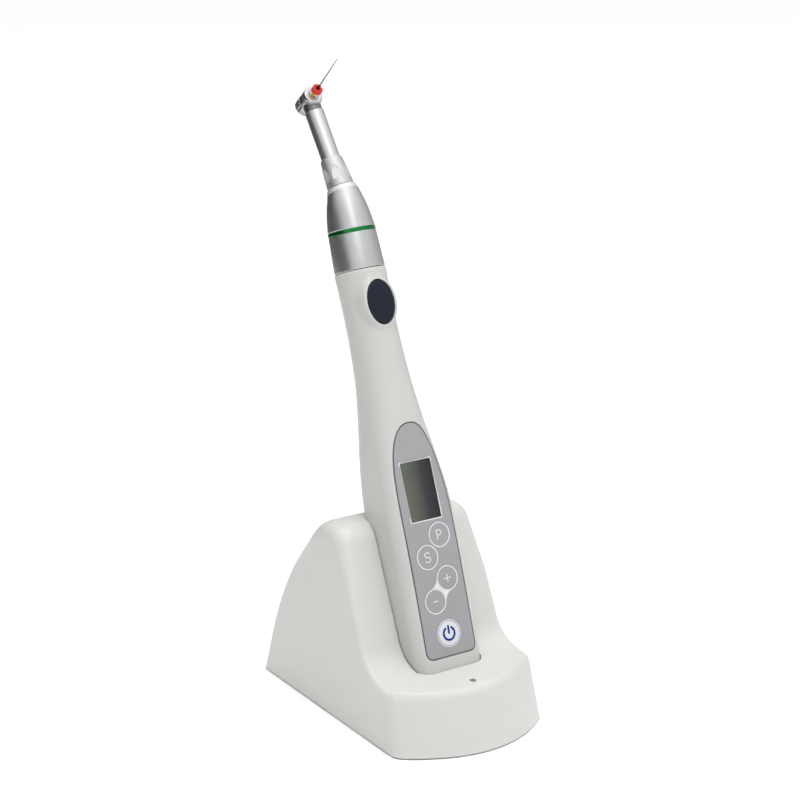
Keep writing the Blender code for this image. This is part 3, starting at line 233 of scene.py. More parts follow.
MATERIAL = {
    "white_plastic": moulded("white_plastic", (0.545, 0.551, 0.529), 0.38, 0.012, coat=0.08, wave=2e-5),
    # painted shade: the handpiece's plastic is a darker copy of the base's white plastic, standing for the shade
    # on its rounded body
    "body_painted_shade": moulded("body_painted_shade", (0.490, 0.496, 0.476), 0.38, 0.012, coat=0.08, wave=2e-5),
    "grey_film": moulded("grey_film", (0.290, 0.289, 0.300), 0.40, 0.03, grain=4200, depth=5e-6, wave=3e-5),
    "navy_rubber": moulded("navy_rubber", (0.010, 0.013, 0.023), 0.50, 0.12, grain=2600, depth=1.0e-5,
                           gloss=0.18),
    "power_key": moulded("power_key", (0.59, 0.62, 0.66), 0.34, 0.02, grain=4200, depth=3e-6),
    "print_light": moulded("print_light", (0.66, 0.66, 0.68), 0.45, 0.03, grain=5200, depth=3e-6),
    "print_blue": moulded("print_blue", (0.002, 0.024, 0.18), 0.42, 0.08, grain=5200, depth=3e-6, gloss=0.2),
    # painted shade: a dark band that stands for the shadowed gap round the panel's edge
    "seam_painted_shade": moulded("seam_painted_shade", (0.085, 0.085, 0.090), 0.45, 0.06, grain=5200, depth=3e-6, gloss=0.3),
    "red_silicone": moulded("red_silicone", (0.47, 0.024, 0.011), 0.52, 0.10, grain=2600, depth=1.0e-5,
                            broad=300, gloss=0.35),
    "black_rubber": moulded("black_rubber", (0.025, 0.025, 0.026), 0.72, 0.25, grain=1800, depth=3e-5),
    "black_plastic": moulded("black_plastic", (0.018, 0.018, 0.019), 0.48, 0.20, grain=2200, depth=1.2e-5),
    "battery_wrap": moulded("battery_wrap", (0.03, 0.10, 0.34), 0.32, 0.10, grain=900, depth=2e-5),
    # painted shade: the lens is coloured near black to stand for the shade in its recessed hole
    "light_pipe": moulded("light_pipe", (0.045, 0.050, 0.048), 0.25, 0.10, grain=1500, depth=5e-6, gloss=0.3),
    "display_glass": material("display_glass", build_display),
    "circuit_board": material("circuit_board", build_board),
    "satin_hand": metal("satin_hand", (0.64, 0.65, 0.66), 0.36, HAND, depth=5e-7, vary=0.02, streak=0.03),
    "satin_neck": metal("satin_neck", (0.70, 0.71, 0.72), 0.32, NECK, depth=4e-7, vary=0.02, streak=0.03),
    "satin_collar": metal("satin_collar", (0.66, 0.67, 0.68), 0.46, NECK, depth=4e-7, vary=0.02, streak=0.03),
    # rougher blasted steel for the sunk finger pads, made brighter than the collar: the extra brightness is a
    # painted highlight
    "pad_blast_and_painted_highlight": metal("pad_blast_and_painted_highlight", (0.80, 0.81, 0.82), 0.60, NECK, depth=1.0e-6, vary=0.02),
    # painted light: the head's steel comes as a darker copy for its sides, grip ring and button (painted shade)
    # and a brighter copy for its front face (painted highlight)
    "head_painted_shade": metal("head_painted_shade", (0.40, 0.405, 0.415), 0.34, HEAD, depth=4e-7, vary=0.03, streak=0.04),
    "face_painted_highlight": metal("face_painted_highlight", (0.74, 0.745, 0.75), 0.55, HEAD, depth=4e-7, vary=0.02, streak=0.03),
    # painted shade: the throat's steel is darkened to stand for the shade in the concave zone between the neck
    # and the head
    "throat_painted_shade": metal("throat_painted_shade", (0.24, 0.245, 0.255), 0.38, NECK, depth=6e-7, vary=0.04,
                           streak=0.04),
    "blasted_lip": metal("blasted_lip", (0.84, 0.85, 0.86), 0.60, HAND, depth=1.0e-6, vary=0.02),
    "polished_head": metal("polished_head", (0.80, 0.81, 0.83), 0.14, HEAD, rings=14000, depth=1.2e-6),
    "zinc_steel": metal("zinc_steel", (0.50, 0.50, 0.51), 0.36, WORLD, rings=3000),
    "brass_head": metal("brass_head", (0.86, 0.60, 0.20), 0.20, HEAD, vary=0.10),
    "brass_hand": metal("brass_hand", (0.80, 0.57, 0.22), 0.24, HAND, vary=0.08),
    "blue_file": metal("blue_file", (0.10, 0.24, 0.36), 0.34, HEAD, rings=4000, vary=0.20),
    "dark_flute": metal("dark_flute", (0.004, 0.005, 0.012), 0.45, HEAD, rings=4000, vary=0.20),
    "green_ring": metal("green_ring", (0.020, 0.300, 0.070), 0.20, HAND, rings=500, depth=3e-6, vary=0.30),
}
SLOT_LOOK = {
    "satin_steel": "satin_hand", "brass": "brass_hand", "blue_nickel_titanium": "blue_file",
}
NODE_LOOK = {"chuck_spindle": "polished_head", "neck_shaft": "satin_neck"}


# ---------------------------------------------------------------- mesh helpers

def linked(name, shape):
    """Turn a bmesh into an object in the scene."""
    mesh = bpy.data.meshes.new(name)
    shape.to_mesh(mesh)
    shape.free()
    item = bpy.data.objects.new(name, mesh)
    bpy.context.scene.collection.objects.link(item)
    return item


def finish_mesh(name, shape, matrix, look, node_name=None, body=None, slot=None, angle=32, extra=()):
    """Turn a bmesh in a local frame into a piece that rides on a body and stands for a CAD node."""
    bmesh.ops.recalc_face_normals(shape, faces=shape.faces)
    shape.transform(matrix)
    return dress(linked(name, shape), look, node_name, body, angle, extra)


def dress(item, look, node_name=None, body=None, angle=32, extra=()):
    chosen = [face.material_index for face in item.data.polygons]
    item.data.materials.clear()
    for each in (look, *extra):
        item.data.materials.append(MATERIAL[each])
    if extra:
        item.data.polygons.foreach_set("material_index", chosen)
    item.data.shade_smooth()
    item.data.set_sharp_from_angle(angle=math.radians(angle))
    if node_name:
        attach(item, BODY_OF[node_name])
        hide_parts(node_name)
    elif body:
        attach(item, body)
    return item


def rounded(corners, steps=6, closed=True):
    """A 2-D path of (a, b) or (a, b, radius) corners with each radius drawn as an arc."""
    path = []
    count = len(corners)
    for i, corner in enumerate(corners):
        here = Vector(corner[:2])
        radius = corner[2] if len(corner) > 2 else 0.0
        if not radius or (not closed and i in (0, count - 1)):
            path.append(here)
            continue
        before = Vector(corners[i - 1][:2]) - here
        after = Vector(corners[(i + 1) % count][:2]) - here
        turn = before.angle(after)
        if math.pi - turn < 0.02:
            path.append(here)
            continue
        reach = min(radius / math.tan(turn / 2), 0.48 * before.length, 0.48 * after.length)
        radius = reach * math.tan(turn / 2)
        centre = here + (before.normalized() + after.normalized()).normalized() * radius / math.sin(turn / 2)
        start = here + before.normalized() * reach - centre
        end = here + after.normalized() * reach - centre
        sweep = start.angle_signed(end)
        for step in range(steps + 1):
            spin = -sweep * step / steps
            path.append(centre + Vector((start.x * math.cos(spin) - start.y * math.sin(spin),
                                         start.x * math.sin(spin) + start.y * math.cos(spin))))
    return path


def skinned(rows, closed=False, caps=True):
    """A bmesh through rings of points; a ring of one point is a tip."""
    shape = bmesh.new()
    rings = [[shape.verts.new(point) for point in row] for row in rows]
    pairs = list(zip(rings, rings[1:]))
    if closed:
        pairs.append((rings[-1], rings[0]))
    for low, high in pairs:
        count = max(len(low), len(high))
        for i in range(count):
            j = (i + 1) % count
            if len(low) == 1:
                shape.faces.new((low[0], high[j], high[i]))
            elif len(high) == 1:
                shape.faces.new((low[i], low[j], high[0]))
            else:
                shape.faces.new((low[i], low[j], high[j], high[i]))
    if caps and not closed:
        for ring in (rings[0], rings[-1]):
            if len(ring) > 2:
                shape.faces.new(ring)
    return shape


def lathe_rows(profile, steps):
    rows = []
    for radius, z in profile:
        if radius < 1e-7:
            rows.append([(0, 0, z)])
        else:
            rows.append([(radius * math.cos(2 * math.pi * i / steps),
                          radius * math.sin(2 * math.pi * i / steps), z)
                         for i in range(steps)])
    return rows


def lathe(profile, steps=96, arc=5, hollow=None):
    """A turned bmesh from (radius, z[, corner radius]) points."""
    if hollow is None:
        hollow = profile[0][0] > 1e-7 and profile[-1][0] > 1e-7
    path = rounded(profile, arc, closed=hollow)
    return skinned(lathe_rows([tuple(p) for p in path], steps), closed=hollow)


def turned(name, profile, matrix, look, steps=96, arc=5, hollow=None, **where):
    return finish_mesh(name, lathe(profile, steps, arc, hollow), matrix, look, **where)


def as_cutter(shape, matrix):
    bmesh.ops.recalc_face_normals(shape, faces=shape.faces)
    shape.transform(matrix)
    return linked("cutter", shape)


def carve(item, cutters, operation="DIFFERENCE"):
    """Apply Boolean cutters to a piece and remove them."""
    for cutter in cutters:
        modifier = item.modifiers.new("cut", "BOOLEAN")
        modifier.operation = operation
        modifier.solver = "EXACT"
        modifier.object = cutter
    done = bpy.data.meshes.new_from_object(item.evaluated_get(bpy.context.evaluated_depsgraph_get()))
    item.modifiers.clear()
    old = item.data
    done.name = old.name
    item.data = done
    bpy.data.meshes.remove(old)
    for cutter in cutters:
        bpy.data.objects.remove(cutter)
    return item


def soften(item, width, segments=2, angle=40):
    """Round a piece's sharp edges a little and bake the result."""
    modifier = item.modifiers.new("soft edges", "BEVEL")
    modifier.width = width
    modifier.segments = segments
    modifier.limit_method = "ANGLE"
    modifier.angle_limit = math.radians(angle)
    modifier.use_clamp_overlap = True
    modifier.loop_slide = False
    return carve(item, [])


def prism(outline, near, far):
    """A bmesh of an outline in XZ made solid between two Y values."""
    return skinned([[(x, near, z) for x, z in outline], [(x, far, z) for x, z in outline]])


def circle(radius, count, centre=(0, 0)):
    return [(centre[0] + radius * math.cos(2 * math.pi * i / count),
             centre[1] + radius * math.sin(2 * math.pi * i / count)) for i in range(count)]


def bar(radius, low, high, steps=48):
    return skinned([[(x, y, z) for x, y in circle(radius, steps)] for z in (low, high)])


# ---------------------------------------------------------------- the base

BASE_PROFILE = [
    (-0.06485, 0.0, 0.0), (-0.0574, 0.0240, 0.0042), (-0.0284, 0.0266, 0.0150), (-0.0071, 0.0777, 0.0090),
    (0.0113, 0.0777, 0.0200), (0.0402, 0.0342, 0.1400), (0.0525, 0.0, 0.0),
]


def base_half(y, z):
    return 0.0319 - 0.062 * y - 0.003 * z


def base_edge(y, z):
    """Rounding between the flanks and the front, the crest or the back."""
    plain = 0.0030 if y < 0 else 0.0012
    rise = min(1.0, max(0.0, (z - 0.0500) / 0.0277))
    return plain + (0.0075 - plain) * rise * rise * (3 - 2 * rise)


def base_solid(inset, bottom, arc=14, edge_steps=9, across=26, spacing=0.0025):
    """The base's outer form, or with an inset its hollow."""
    path = [Vector(p) for p in rounded(BASE_PROFILE, arc, closed=False)]
    dense = [path[0]]
    for point in path[1:]:
        parts = max(1, int((point - dense[-1]).length / spacing))
        start = dense[-1]
        dense += [start.lerp(point, (i + 1) / parts) for i in range(parts)]
    slots = []
    for step in range(edge_steps + 1):
        angle = math.pi / 2 * step / edge_steps
        slots.append((-1, 1 - math.cos(angle), 1 - math.sin(angle)))
    slots += [(2 * i / across - 1, None, 0.0) for i in range(1, across)]
    slots += [(1, narrow, depth) for side, narrow, depth in reversed(slots[:edge_steps + 1])]
    rows = []
    for index, point in enumerate(dense):
        along = dense[min(index + 1, len(dense) - 1)] - dense[max(index - 1, 0)]
        normal = Vector((-along.y, along.x)).normalized()
        row = []
        edge = max(0.0005, base_edge(point.x, point.y) - inset * 0.6)
        for side, narrow, depth in slots:
            inward = point - normal * (inset + edge * depth)
            y, z = inward
            if index in (0, len(dense) - 1):
                z = bottom
            for _ in range(3):
                reach = base_half(y, z) - inset
                x = side * (reach - edge) if narrow is None else side * (reach - edge * narrow)
                fade = min(1.0, max(0.0, (-0.035 - point.x) / 0.0224))
                y = inward.x + 11.8 * x * x * fade
            row.append((x, y, z))
        rows.append(row)
    shape = bmesh.new()
    rings = [[shape.verts.new(p) for p in row] for row in rows]
    for near, far in zip(rings, rings[1:]):
        for i in range(len(near) - 1):
            shape.faces.new((near[i], near[i + 1], far[i + 1], far[i]))
    shape.faces.new([ring[0] for ring in rings])
    shape.faces.new([ring[-1] for ring in reversed(rings)])
    shape.faces.new(rings[0] + list(reversed(rings[-1])))
    return shape


# Handpiece sections: distance down the axis, half-width, front and back depth, corner radii.
BODY_SECTIONS = [
    (0.000, 0.01010, 0.01010, 0.01010, 0.01010, 0.01010), (0.015, 0.00985, 0.00990, 0.00990, 0.00985,
                                                           0.00985),
    (0.030, 0.01005, 0.01005, 0.01015, 0.01000, 0.01000), (0.045, 0.01080, 0.01070, 0.01110, 0.01050,
                                                           0.01050),
    (0.060, 0.01205, 0.01140, 0.01250, 0.01030, 0.00950), (0.075, 0.01370, 0.01170, 0.01380, 0.00880,
                                                           0.00860),
    (0.088, 0.01475, 0.01165, 0.01450, 0.00700, 0.00800), (0.100, 0.01510, 0.01145, 0.01470, 0.00620,
                                                           0.00780),
    (0.120, 0.01510, 0.01080, 0.01470, 0.00600, 0.00780), (0.140, 0.01510, 0.00970, 0.01470, 0.00600,
                                                           0.00780),
    (0.1635, 0.01490, 0.00790, 0.01450, 0.00550, 0.00760),
]
POCKET_FLOOR = -0.1639


def body_size(z):
    down = min(max(-z, 0.0), BODY_SECTIONS[-1][0])
    index = 0
    while index < len(BODY_SECTIONS) - 2 and BODY_SECTIONS[index + 1][0] < down:
        index += 1
    here, there = BODY_SECTIONS[index], BODY_SECTIONS[index + 1]
    before, beyond = BODY_SECTIONS[max(index - 1, 0)], BODY_SECTIONS[min(index + 2, len(BODY_SECTIONS) - 1)]
    span = there[0] - here[0]
    t = (down - here[0]) / span
    sizes = []
    for column in range(1, 6):
        slope_in = (there[column] - before[column]) / (there[0] - before[0]) * span
        slope_out = (beyond[column] - here[column]) / (beyond[0] - here[0]) * span
        value = (2 * t**3 - 3 * t**2 + 1) * here[column] + (t**3 - 2 * t**2 + t) * slope_in
        sizes.append(value + (3 * t**2 - 2 * t**3) * there[column] + (t**3 - t**2) * slope_out)
    return sizes


def quarter(half, depth, radius, count):
    radius = min(radius, half, depth)
    straight, arc, top = depth - radius, radius * math.pi / 2, half - radius
    total = straight + arc + top
    points = []
    for i in range(count):
        reach = total * i / count
        if reach < straight:
            points.append((half, reach))
        elif reach < straight + arc:
            angle = (reach - straight) / radius
            points.append((half - radius + radius * math.cos(angle), straight + radius * math.sin(angle)))
        else:
            points.append((half - radius - (reach - straight - arc), depth))
    return points


def section(half, front, back, front_radius, back_radius, count=26):
    fore, aft = quarter(half, front, front_radius, count), quarter(half, back, back_radius, count)
    outline = [(x, -y) for x, y in fore] + [(0, -front)]
    outline += [(-x, -y) for x, y in reversed(fore[1:])]
    outline += [(-x, y) for x, y in aft] + [(0, back)]
    outline += [(x, y) for x, y in reversed(aft[1:])]
    return outline


def body_rows(grow, heights, count=26):
    rows = []
    for z in heights:
        rows.append([(x, y, z) for x, y in section(*(size + grow for size in body_size(z)), count)])
    return rows


def face_y(x, z):
    """Where the handpiece's front surface lies."""
    half, front, _, radius, _ = body_size(z)
    radius = min(radius, half, front)
    past = abs(x) - (half - radius)
    if past <= 0:
        return -front
    return -(front - radius + math.sqrt(max(radius * radius - past * past, 0.0)))


def pocket(grow, floor, count=16):
    """The cradle's pocket. Its back corners take the widest section's radius, more than the body has there."""
    widest = [max(row[i] for row in BODY_SECTIONS) for i in range(1, 6)]
    rows = []
    for z, front in ((floor, None), (-0.1560, None), (-0.1558, 0.022), (-0.060, 0.022)):
        half, depth, back, _, back_radius = widest
        depth = body_size(z)[1] if front is None else front
        rows.append([(x, y, z) for x, y in
                     section(half + grow, depth + grow, back + grow, 0.006, back_radius + grow, count)])
    return skinned(rows)


def make_base():
    shell = finish_mesh("base_cover", base_solid(0.0, 0.0006), WORLD, "white_plastic", "base_shell")
    hollow = as_cutter(base_solid(0.0022, -0.002, arc=5, edge_steps=3, across=8, spacing=0.01), WORLD)
    carve(hollow, [as_cutter(pocket(0.00235, POCKET_FLOOR - 0.0020), HAND)])
    cutters = [hollow, as_cutter(pocket(0.00035, POCKET_FLOOR, 26), HAND)]
    light_low, light_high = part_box("status_light")
    spot = (light_low + light_high) / 2
    cutters.append(as_cutter(bar(0.0013, 0.015, 0.030, 40), Matrix.Translation((spot.x, spot.y, 0))))
    socket_low, socket_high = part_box("dc_socket")
    middle = (socket_low + socket_high) / 2
    across = Matrix.Translation((0, 0, middle.z)) @ Matrix.Rotation(math.radians(-90), 4, "X")
    cutters.append(as_cutter(bar(0.0041, 0.040, 0.060, 64), across))
    for side in (-1, 1):
        hole = HAND @ Matrix.Translation((side * CONTACT_X, 0, 0))
        cutters.append(as_cutter(bar(0.0013, POCKET_FLOOR - 0.004, POCKET_FLOOR + 0.002, 24), hole))
    carve(shell, cutters)
    dress(shell, "white_plastic", angle=28)
    crown, lower = light_high.z, light_low.z
    lens = [(0, crown), (0.0009, crown, 0.0004), (0.0009, lower + 0.0008, 0.0001), (0.0018, lower + 0.0008,
                                                                                    0.0001),
            (0.0018, lower, 0.0002), (0, lower)]
    # the lens's near-black colour is painted shade for its recessed hole
    turned("indicator_lens", lens, Matrix.Translation((spot.x, spot.y, 0)), "light_pipe",
           node_name="status_light")

    for number in range(1, 5):
        low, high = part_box(f"foot_{number}")
        middle = (low + high) / 2
        radius, top = (high.x - low.x) / 2, high.z
        profile = [(0, top), (radius, top, 0.0001), (radius, 0.0, 0.0004), (radius - 0.0012, 0.0, 0.0001)]
        profile += [(radius - 0.0014, 0.00012, 0.0001), (radius - 0.0019, 0.00012, 0.0001)]
        profile += [(radius - 0.0021, 0.0, 0.0001), (0, 0.0)]
        turned(f"rubber_foot_{number}", profile, Matrix.Translation((middle.x, middle.y, 0)), "black_rubber",
               node_name=f"foot_{number}")
        low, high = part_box(f"base_screw_{number}")
        middle = (low + high) / 2
        spot = Matrix.Translation((middle.x, middle.y, 0))
        top = high.z
        profile = [(0, top), (0.0007, top, 0.0001), (0.0013, top - 0.0012, 0.0002)]
        turn = top - 0.0014
        while turn > 0.0046:
            profile += [(0.00130, turn), (0.00108, turn - 0.0003), (0.00130, turn - 0.0006)]
            turn -= 0.0007
        profile += [(0.0013, 0.0024, 0.0001), (0.0026, 0.0024, 0.0001), (0.0026, 0.0017, 0.0002)]
        profile += [(0.0019, 0.0012, 0.0003), (0, 0.0012)]
        screw = turned(f"cover_screw_{number}", profile, spot, "zinc_steel", steps=48,
                       node_name=f"base_screw_{number}")
        for length, width in ((0.0013, 0.0003), (0.0003, 0.0013)):
            cross = [(-length, -width), (length, -width), (length, width), (-length, width)]
            carve(screw, [as_cutter(skinned([[(x, y, 0.0) for x, y in cross], [(x, y, 0.0019) for x,
                                                                               y in cross]]),
                                    spot)])
        dress(screw, "zinc_steel")

    near, far = socket_low.y, socket_high.y
    profile = [(0, far - 0.0012), (0.0007, far - 0.0012, 0.0003), (0.0009, far - 0.0022, 0.0002)]
    profile += [(0.0009, far - 0.0095, 0.0001), (0.0028, far - 0.0095, 0.0002), (0.0028, far, 0.0003)]
    profile += [(0.0038, far, 0.0003), (0.0038, near, 0.0002), (0, near)]
    turned("power_inlet", profile, across, "black_plastic", node_name="dc_socket")


# ---------------------------------------------------------------- the handpiece

PANEL_FOOT = -0.1524
TRIGGER_Z = -0.01375
TRIGGER_SEMI = (0.00605, 0.00875)
SPLIT_Y = 0.0070
CONTACT_X = 0.0045
SHELL_SCREWS = (-0.0615, -0.1550)
RIM_FILLET = 0.0016
PRINT_WIDTH = 0.00036
KEYS = {
    "key_program": (0.0036, 0.0465, 0.0049), "key_speed": (-0.0036, 0.0389, 0.0049),
    "key_plus": (0.0036, 0.02955, 0.0049), "key_minus": (-0.0036, 0.0217, 0.0049),
    "key_power": (0.0, 0.00867, 0.0054),
}


def panel_outline(grow=0.0, tip_steps=26, corner_steps=8):
    half, corner, straight, length = 0.0115, 0.0030, 0.0500, 0.0911
    side = []
    for i in range(corner_steps + 1):
        angle = math.pi / 2 * i / corner_steps - math.pi / 2
        side.append((half - corner + corner * math.cos(angle), corner + corner * math.sin(angle)))
    side += [(half, corner + (straight - corner) * i / 16) for i in range(1, 16)]
    for i in range(tip_steps):
        angle = math.pi / 2 * i / tip_steps
        side.append((half * math.cos(angle) ** 0.8, straight + (length - straight) * math.sin(angle) ** 0.8))
    outline = side + [(0, length)] + [(-x, y) for x, y in reversed(side)]
    grown = []
    for i, (x, y) in enumerate(outline):
        before, after = outline[i - 1], outline[(i + 1) % len(outline)]
        along = Vector((after[0] - before[0], after[1] - before[1])).normalized()
        grown.append((x + along.y * grow, y - along.x * grow + PANEL_FOOT))
    return grown


def display_outline(grow=0.0, corner=0.0003):
    """The display's window in XZ, grown all round."""
    left, right, low, high = -0.0077 - grow, 0.0063 + grow, PANEL_FOOT + 0.0531 - grow, PANEL_FOOT + 0.0762 + grow
    corners = [(left, low, corner), (right, low, corner), (right, high, corner), (left, high, corner)]
    return [tuple(p) for p in rounded(corners, 4)]


def inside(point, outline):
    x, y = point
    found = False
    for (ax, ay), (bx, by) in zip(outline, outline[1:] + outline[:1]):
        if (ay > y) != (by > y) and x < (bx - ax) * (y - ay) / (by - ay) + ax:
            found = not found
    return found


def sheet(outline, holes, top, bottom, spacing=0.0011):
    """A bmesh of an outline in XZ with holes, between two functions of (x, z) that give Y."""
    loops = [outline] + list(holes)
    points, edges = [], []
    for loop in loops:
        start = len(points)
        points += [Vector(p) for p in loop]
        edges += [(start + i, start + (i + 1) % len(loop)) for i in range(len(loop))]
    rim = list(points)
    low = Vector((min(p.x for p in rim), min(p.y for p in rim)))
    high = Vector((max(p.x for p in rim), max(p.y for p in rim)))
    columns = int((high.x - low.x) / spacing)
    lines = int((high.y - low.y) / spacing)
    for i in range(1, columns):
        for j in range(1, lines):
            p = Vector((low.x + (high.x - low.x) * i / columns, low.y + (high.y - low.y) * j / lines))
            if not inside(p, outline) or any(inside(p, hole) for hole in holes):
                continue
            if min((p - r).length_squared for r in rim) > (0.45 * spacing) ** 2:
                points.append(p)
    verts, _, faces, _, _, _ = delaunay_2d_cdt(points, edges, [], 0, 1e-7)
    shape = bmesh.new()
    upper = [shape.verts.new((v.x, top(v.x, v.y), v.y)) for v in verts]
    lower = [shape.verts.new((v.x, bottom(v.x, v.y), v.y)) for v in verts]
    kept = {}
    for face in faces:
        centre = sum((verts[i] for i in face), Vector((0, 0))) / len(face)
        if not inside(centre, outline) or any(inside(centre, hole) for hole in holes):
            continue
        shape.faces.new([upper[i] for i in face])
        shape.faces.new([lower[i] for i in reversed(face)])
        for a, b in zip(face, list(face[1:]) + [face[0]]):
            key = (min(a, b), max(a, b))
            kept[key] = None if key in kept else (a, b)
    for pair in kept.values():
        if pair:
            a, b = pair
            shape.faces.new((upper[b], upper[a], lower[a], lower[b]))
    bmesh.ops.delete(shape, geom=[v for v in shape.verts if not v.link_faces], context="VERTS")
    return shape


def over(depth):
    """The front surface, sunk by depth, as a function of (x, z)."""
    return lambda x, z: face_y(x, z) + depth


def make_shells():
    heights, z = [], 0.0
    while z > -0.1611:
        heights.append(z)
        z -= 0.0004 if -0.0265 < z < -0.0022 else 0.0016
    heights.append(-0.1611)
    heights = [-0.0, -0.00012, -0.0003] + [h for h in heights if h < -0.0005]
    rows = []
    rim = (TRIGGER_SEMI[0] + 0.00105, TRIGGER_SEMI[1] + 0.00105)
    for z in heights:
        shrink = 0.00025 * (1 - min(1.0, -z / 0.0003)) ** 2
        row = []
        for x, y in section(*(size - shrink for size in body_size(z)), 40):
            across = math.hypot(x / rim[0], (z - TRIGGER_Z) / rim[1])
            if y < 0 and across < 1.6:
                # distance outside the rim's ellipse, and the soft fillet that runs down to the body
                away = (across - 1) * math.hypot(rim[0] * x / rim[0],
                                                 rim[1] * (z - TRIGGER_Z) / rim[1]) / across \
                    if across > 1e-6 else -1.0
                if away < RIM_FILLET:
                    rise = 1.0 if away <= 0 else (1 - away / RIM_FILLET) ** 2 * (1 + 2 * away / RIM_FILLET)
                    top = -0.0104 + 0.00022 * min(1.0, max(0.0, (away + 0.0003) / 0.0003)) ** 2
                    if away > -0.00105 - 0.00035:
                        inner = min(1.0, max(0.0, (-0.00070 - away) / 0.00035))
                        top += 0.00016 * inner * inner
                    y += (min(y, top) - y) * rise if y > top else 0.0
            row.append((x, y, z))
        rows.append(row)
    inner_heights = [-0.170 + (0.170 - 0.0016) * i / 24 for i in range(25)]
    outline = panel_outline(0.00022)
    for name, node_name, front in (("front_cover", "front_shell", True), ("rear_cover", "rear_shell", False)):
        # the shells take the darker copy of the white plastic: painted shade on the rounded body
        shell = finish_mesh(name, skinned(rows), HAND, "body_painted_shade", node_name)
        cutters = [as_cutter(skinned(body_rows(-0.0018, inner_heights, 12)), HAND)]
        reach = 0.03
        if front:
            cutters.append(as_cutter(prism([(-reach, -0.2), (reach, -0.2), (reach, 0.02), (-reach, 0.02)],
                                           SPLIT_Y, 0.03), HAND))
            well = [(x * (TRIGGER_SEMI[0] + 0.00022), TRIGGER_Z + y * (TRIGGER_SEMI[1] + 0.00022))
                    for x, y in circle(1, 120)]
            cutters.append(as_cutter(prism(well, -0.0120, -0.0040), HAND))
            cutters.append(as_cutter(sheet(outline, [], lambda x, z: -0.020, over(0.0010), 0.0022), HAND))
            cutters.append(as_cutter(prism(display_outline(-0.0004), -0.0180, -0.0040), HAND))
            for x, height, _ in KEYS.values():
                cutters.append(as_cutter(prism(circle(0.0015, 20, (x, PANEL_FOOT + height)), -0.0180,
                                               -0.0040), HAND))
        else:
            cutters.append(as_cutter(prism([(-reach, -0.2), (reach, -0.2), (reach, 0.02), (-reach, 0.02)],
                                           -0.03, SPLIT_Y + 0.00003), HAND))
            for z in SHELL_SCREWS:
                back = body_size(z)[2]
                spot = HAND @ Matrix.Translation((0, 0, z)) @ Matrix.Rotation(math.radians(-90), 4, "X")
                cutters.append(as_cutter(bar(0.0022, back - 0.0011, back + 0.002, 40), spot))
                cutters.append(as_cutter(bar(0.0012, back - 0.004, back, 32), spot))
        cutters.append(as_cutter(bar(0.0045, -0.004, 0.004, 64), HAND))
        carve(shell, cutters)
        dress(shell, "body_painted_shade", angle=30)
    for number, z in enumerate(SHELL_SCREWS, 1):
        back = body_size(z)[2] - 0.0009
        spot = HAND @ Matrix.Translation((0, 0, z)) @ Matrix.Rotation(math.radians(-90), 4, "X")
        profile = [(0, back + 0.0008), (0.0014, back + 0.0008, 0.0002), (0.0019, back + 0.0004, 0.0002)]
        profile += [(0.0019, back + 0.0001, 0.0001), (0.0009, back, 0.0001), (0.0009, back - 0.0108,
                                                                              0.0003), (0, back - 0.0110)]
        screw = turned(f"shell_screw_{number}", profile, spot, "zinc_steel", steps=48,
                       node_name=f"body_screw_{number}")
        slot = [(-0.0014, -0.0002), (0.0014, -0.0002), (0.0014, 0.0002), (-0.0014, 0.0002)]
        carve(screw, [as_cutter(skinned([[(x, y, back + 0.0004) for x, y in slot],
                                         [(x, y, back + 0.002) for x, y in slot]]), spot)])
        dress(screw, "zinc_steel")

    rows = []
    for z, grow in ((-0.1635, -0.0008), (-0.1633, -0.0004), (-0.1630, -0.00012), (-0.1626, 0.0),
                    (-0.16118, 0.0)):
        rows.append([(x, y, z) for x, y in section(*(size + grow for size in body_size(z)), 26)])
    cap = finish_mesh("lower_cap", skinned(rows), HAND, "body_painted_shade", "end_cap")
    cutters = [as_cutter(bar(0.0021, -0.1650, -0.1612, 48), HAND @ Matrix.Translation((side * CONTACT_X, 0,
                                                                                       0)))
               for side in (-1, 1)]
    carve(cap, cutters)
    dress(cap, "body_painted_shade")
    for number, side in enumerate((-1, 1), 1):
        profile = [(0, -0.1615), (0.0018, -0.1615, 0.0001), (0.0018, -0.1633, 0.0003), (0, -0.1633)]
        turned(f"contact_pad_{number}", profile, HAND @ Matrix.Translation((side * CONTACT_X, 0, 0)),
               "brass_hand",
               node_name=f"charge_pad_{number}")
        tip = POCKET_FLOOR + 0.00025
        profile = [(0, tip), (0.0009, tip, 0.0006), (0.0009, tip - 0.0052, 0.0002), (0, tip - 0.0052)]
        turned(f"sprung_pin_{number}", profile, HAND @ Matrix.Translation((side * CONTACT_X, 0, 0)),
               "brass_hand",
               node_name=f"contact_pin_{number}", steps=32)


def stroke(points, width, closed=False, round_ends=True):
    """The outline of a line of even width through points."""
    half = width / 2
    left, right = [], []
    points = [Vector(p) for p in points]
    for i, p in enumerate(points):
        along = (points[min(i + 1, len(points) - 1)] - points[max(i - 1, 0)]).normalized()
        aside = Vector((-along.y, along.x)) * half
        left.append(p + aside)
        right.append(p - aside)
    outline = list(left)
    if round_ends:
        along = (points[-1] - points[-2]).normalized()
        aside = Vector((-along.y, along.x))
        outline += [points[-1] + (aside * math.cos(a) + along * math.sin(a)) * half
                    for a in (math.pi * i / 6 for i in range(1, 6))]
    outline += list(reversed(right))
    if round_ends:
        along = (points[0] - points[1]).normalized()
        aside = Vector((-along.y, along.x))
        outline += [points[0] + (aside * math.cos(a) + along * math.sin(a)) * half
                    for a in (math.pi * i / 6 for i in range(1, 6))]
    return [tuple(p) for p in outline]


def arc_points(centre, radius, start, end, count=16, squash=1.0):
    return [(centre[0] + radius * math.cos(math.radians(start + (end - start) * i / count)),
             centre[1] + radius * squash * math.sin(math.radians(start + (end - start) * i / count)))
            for i in range(count + 1)]


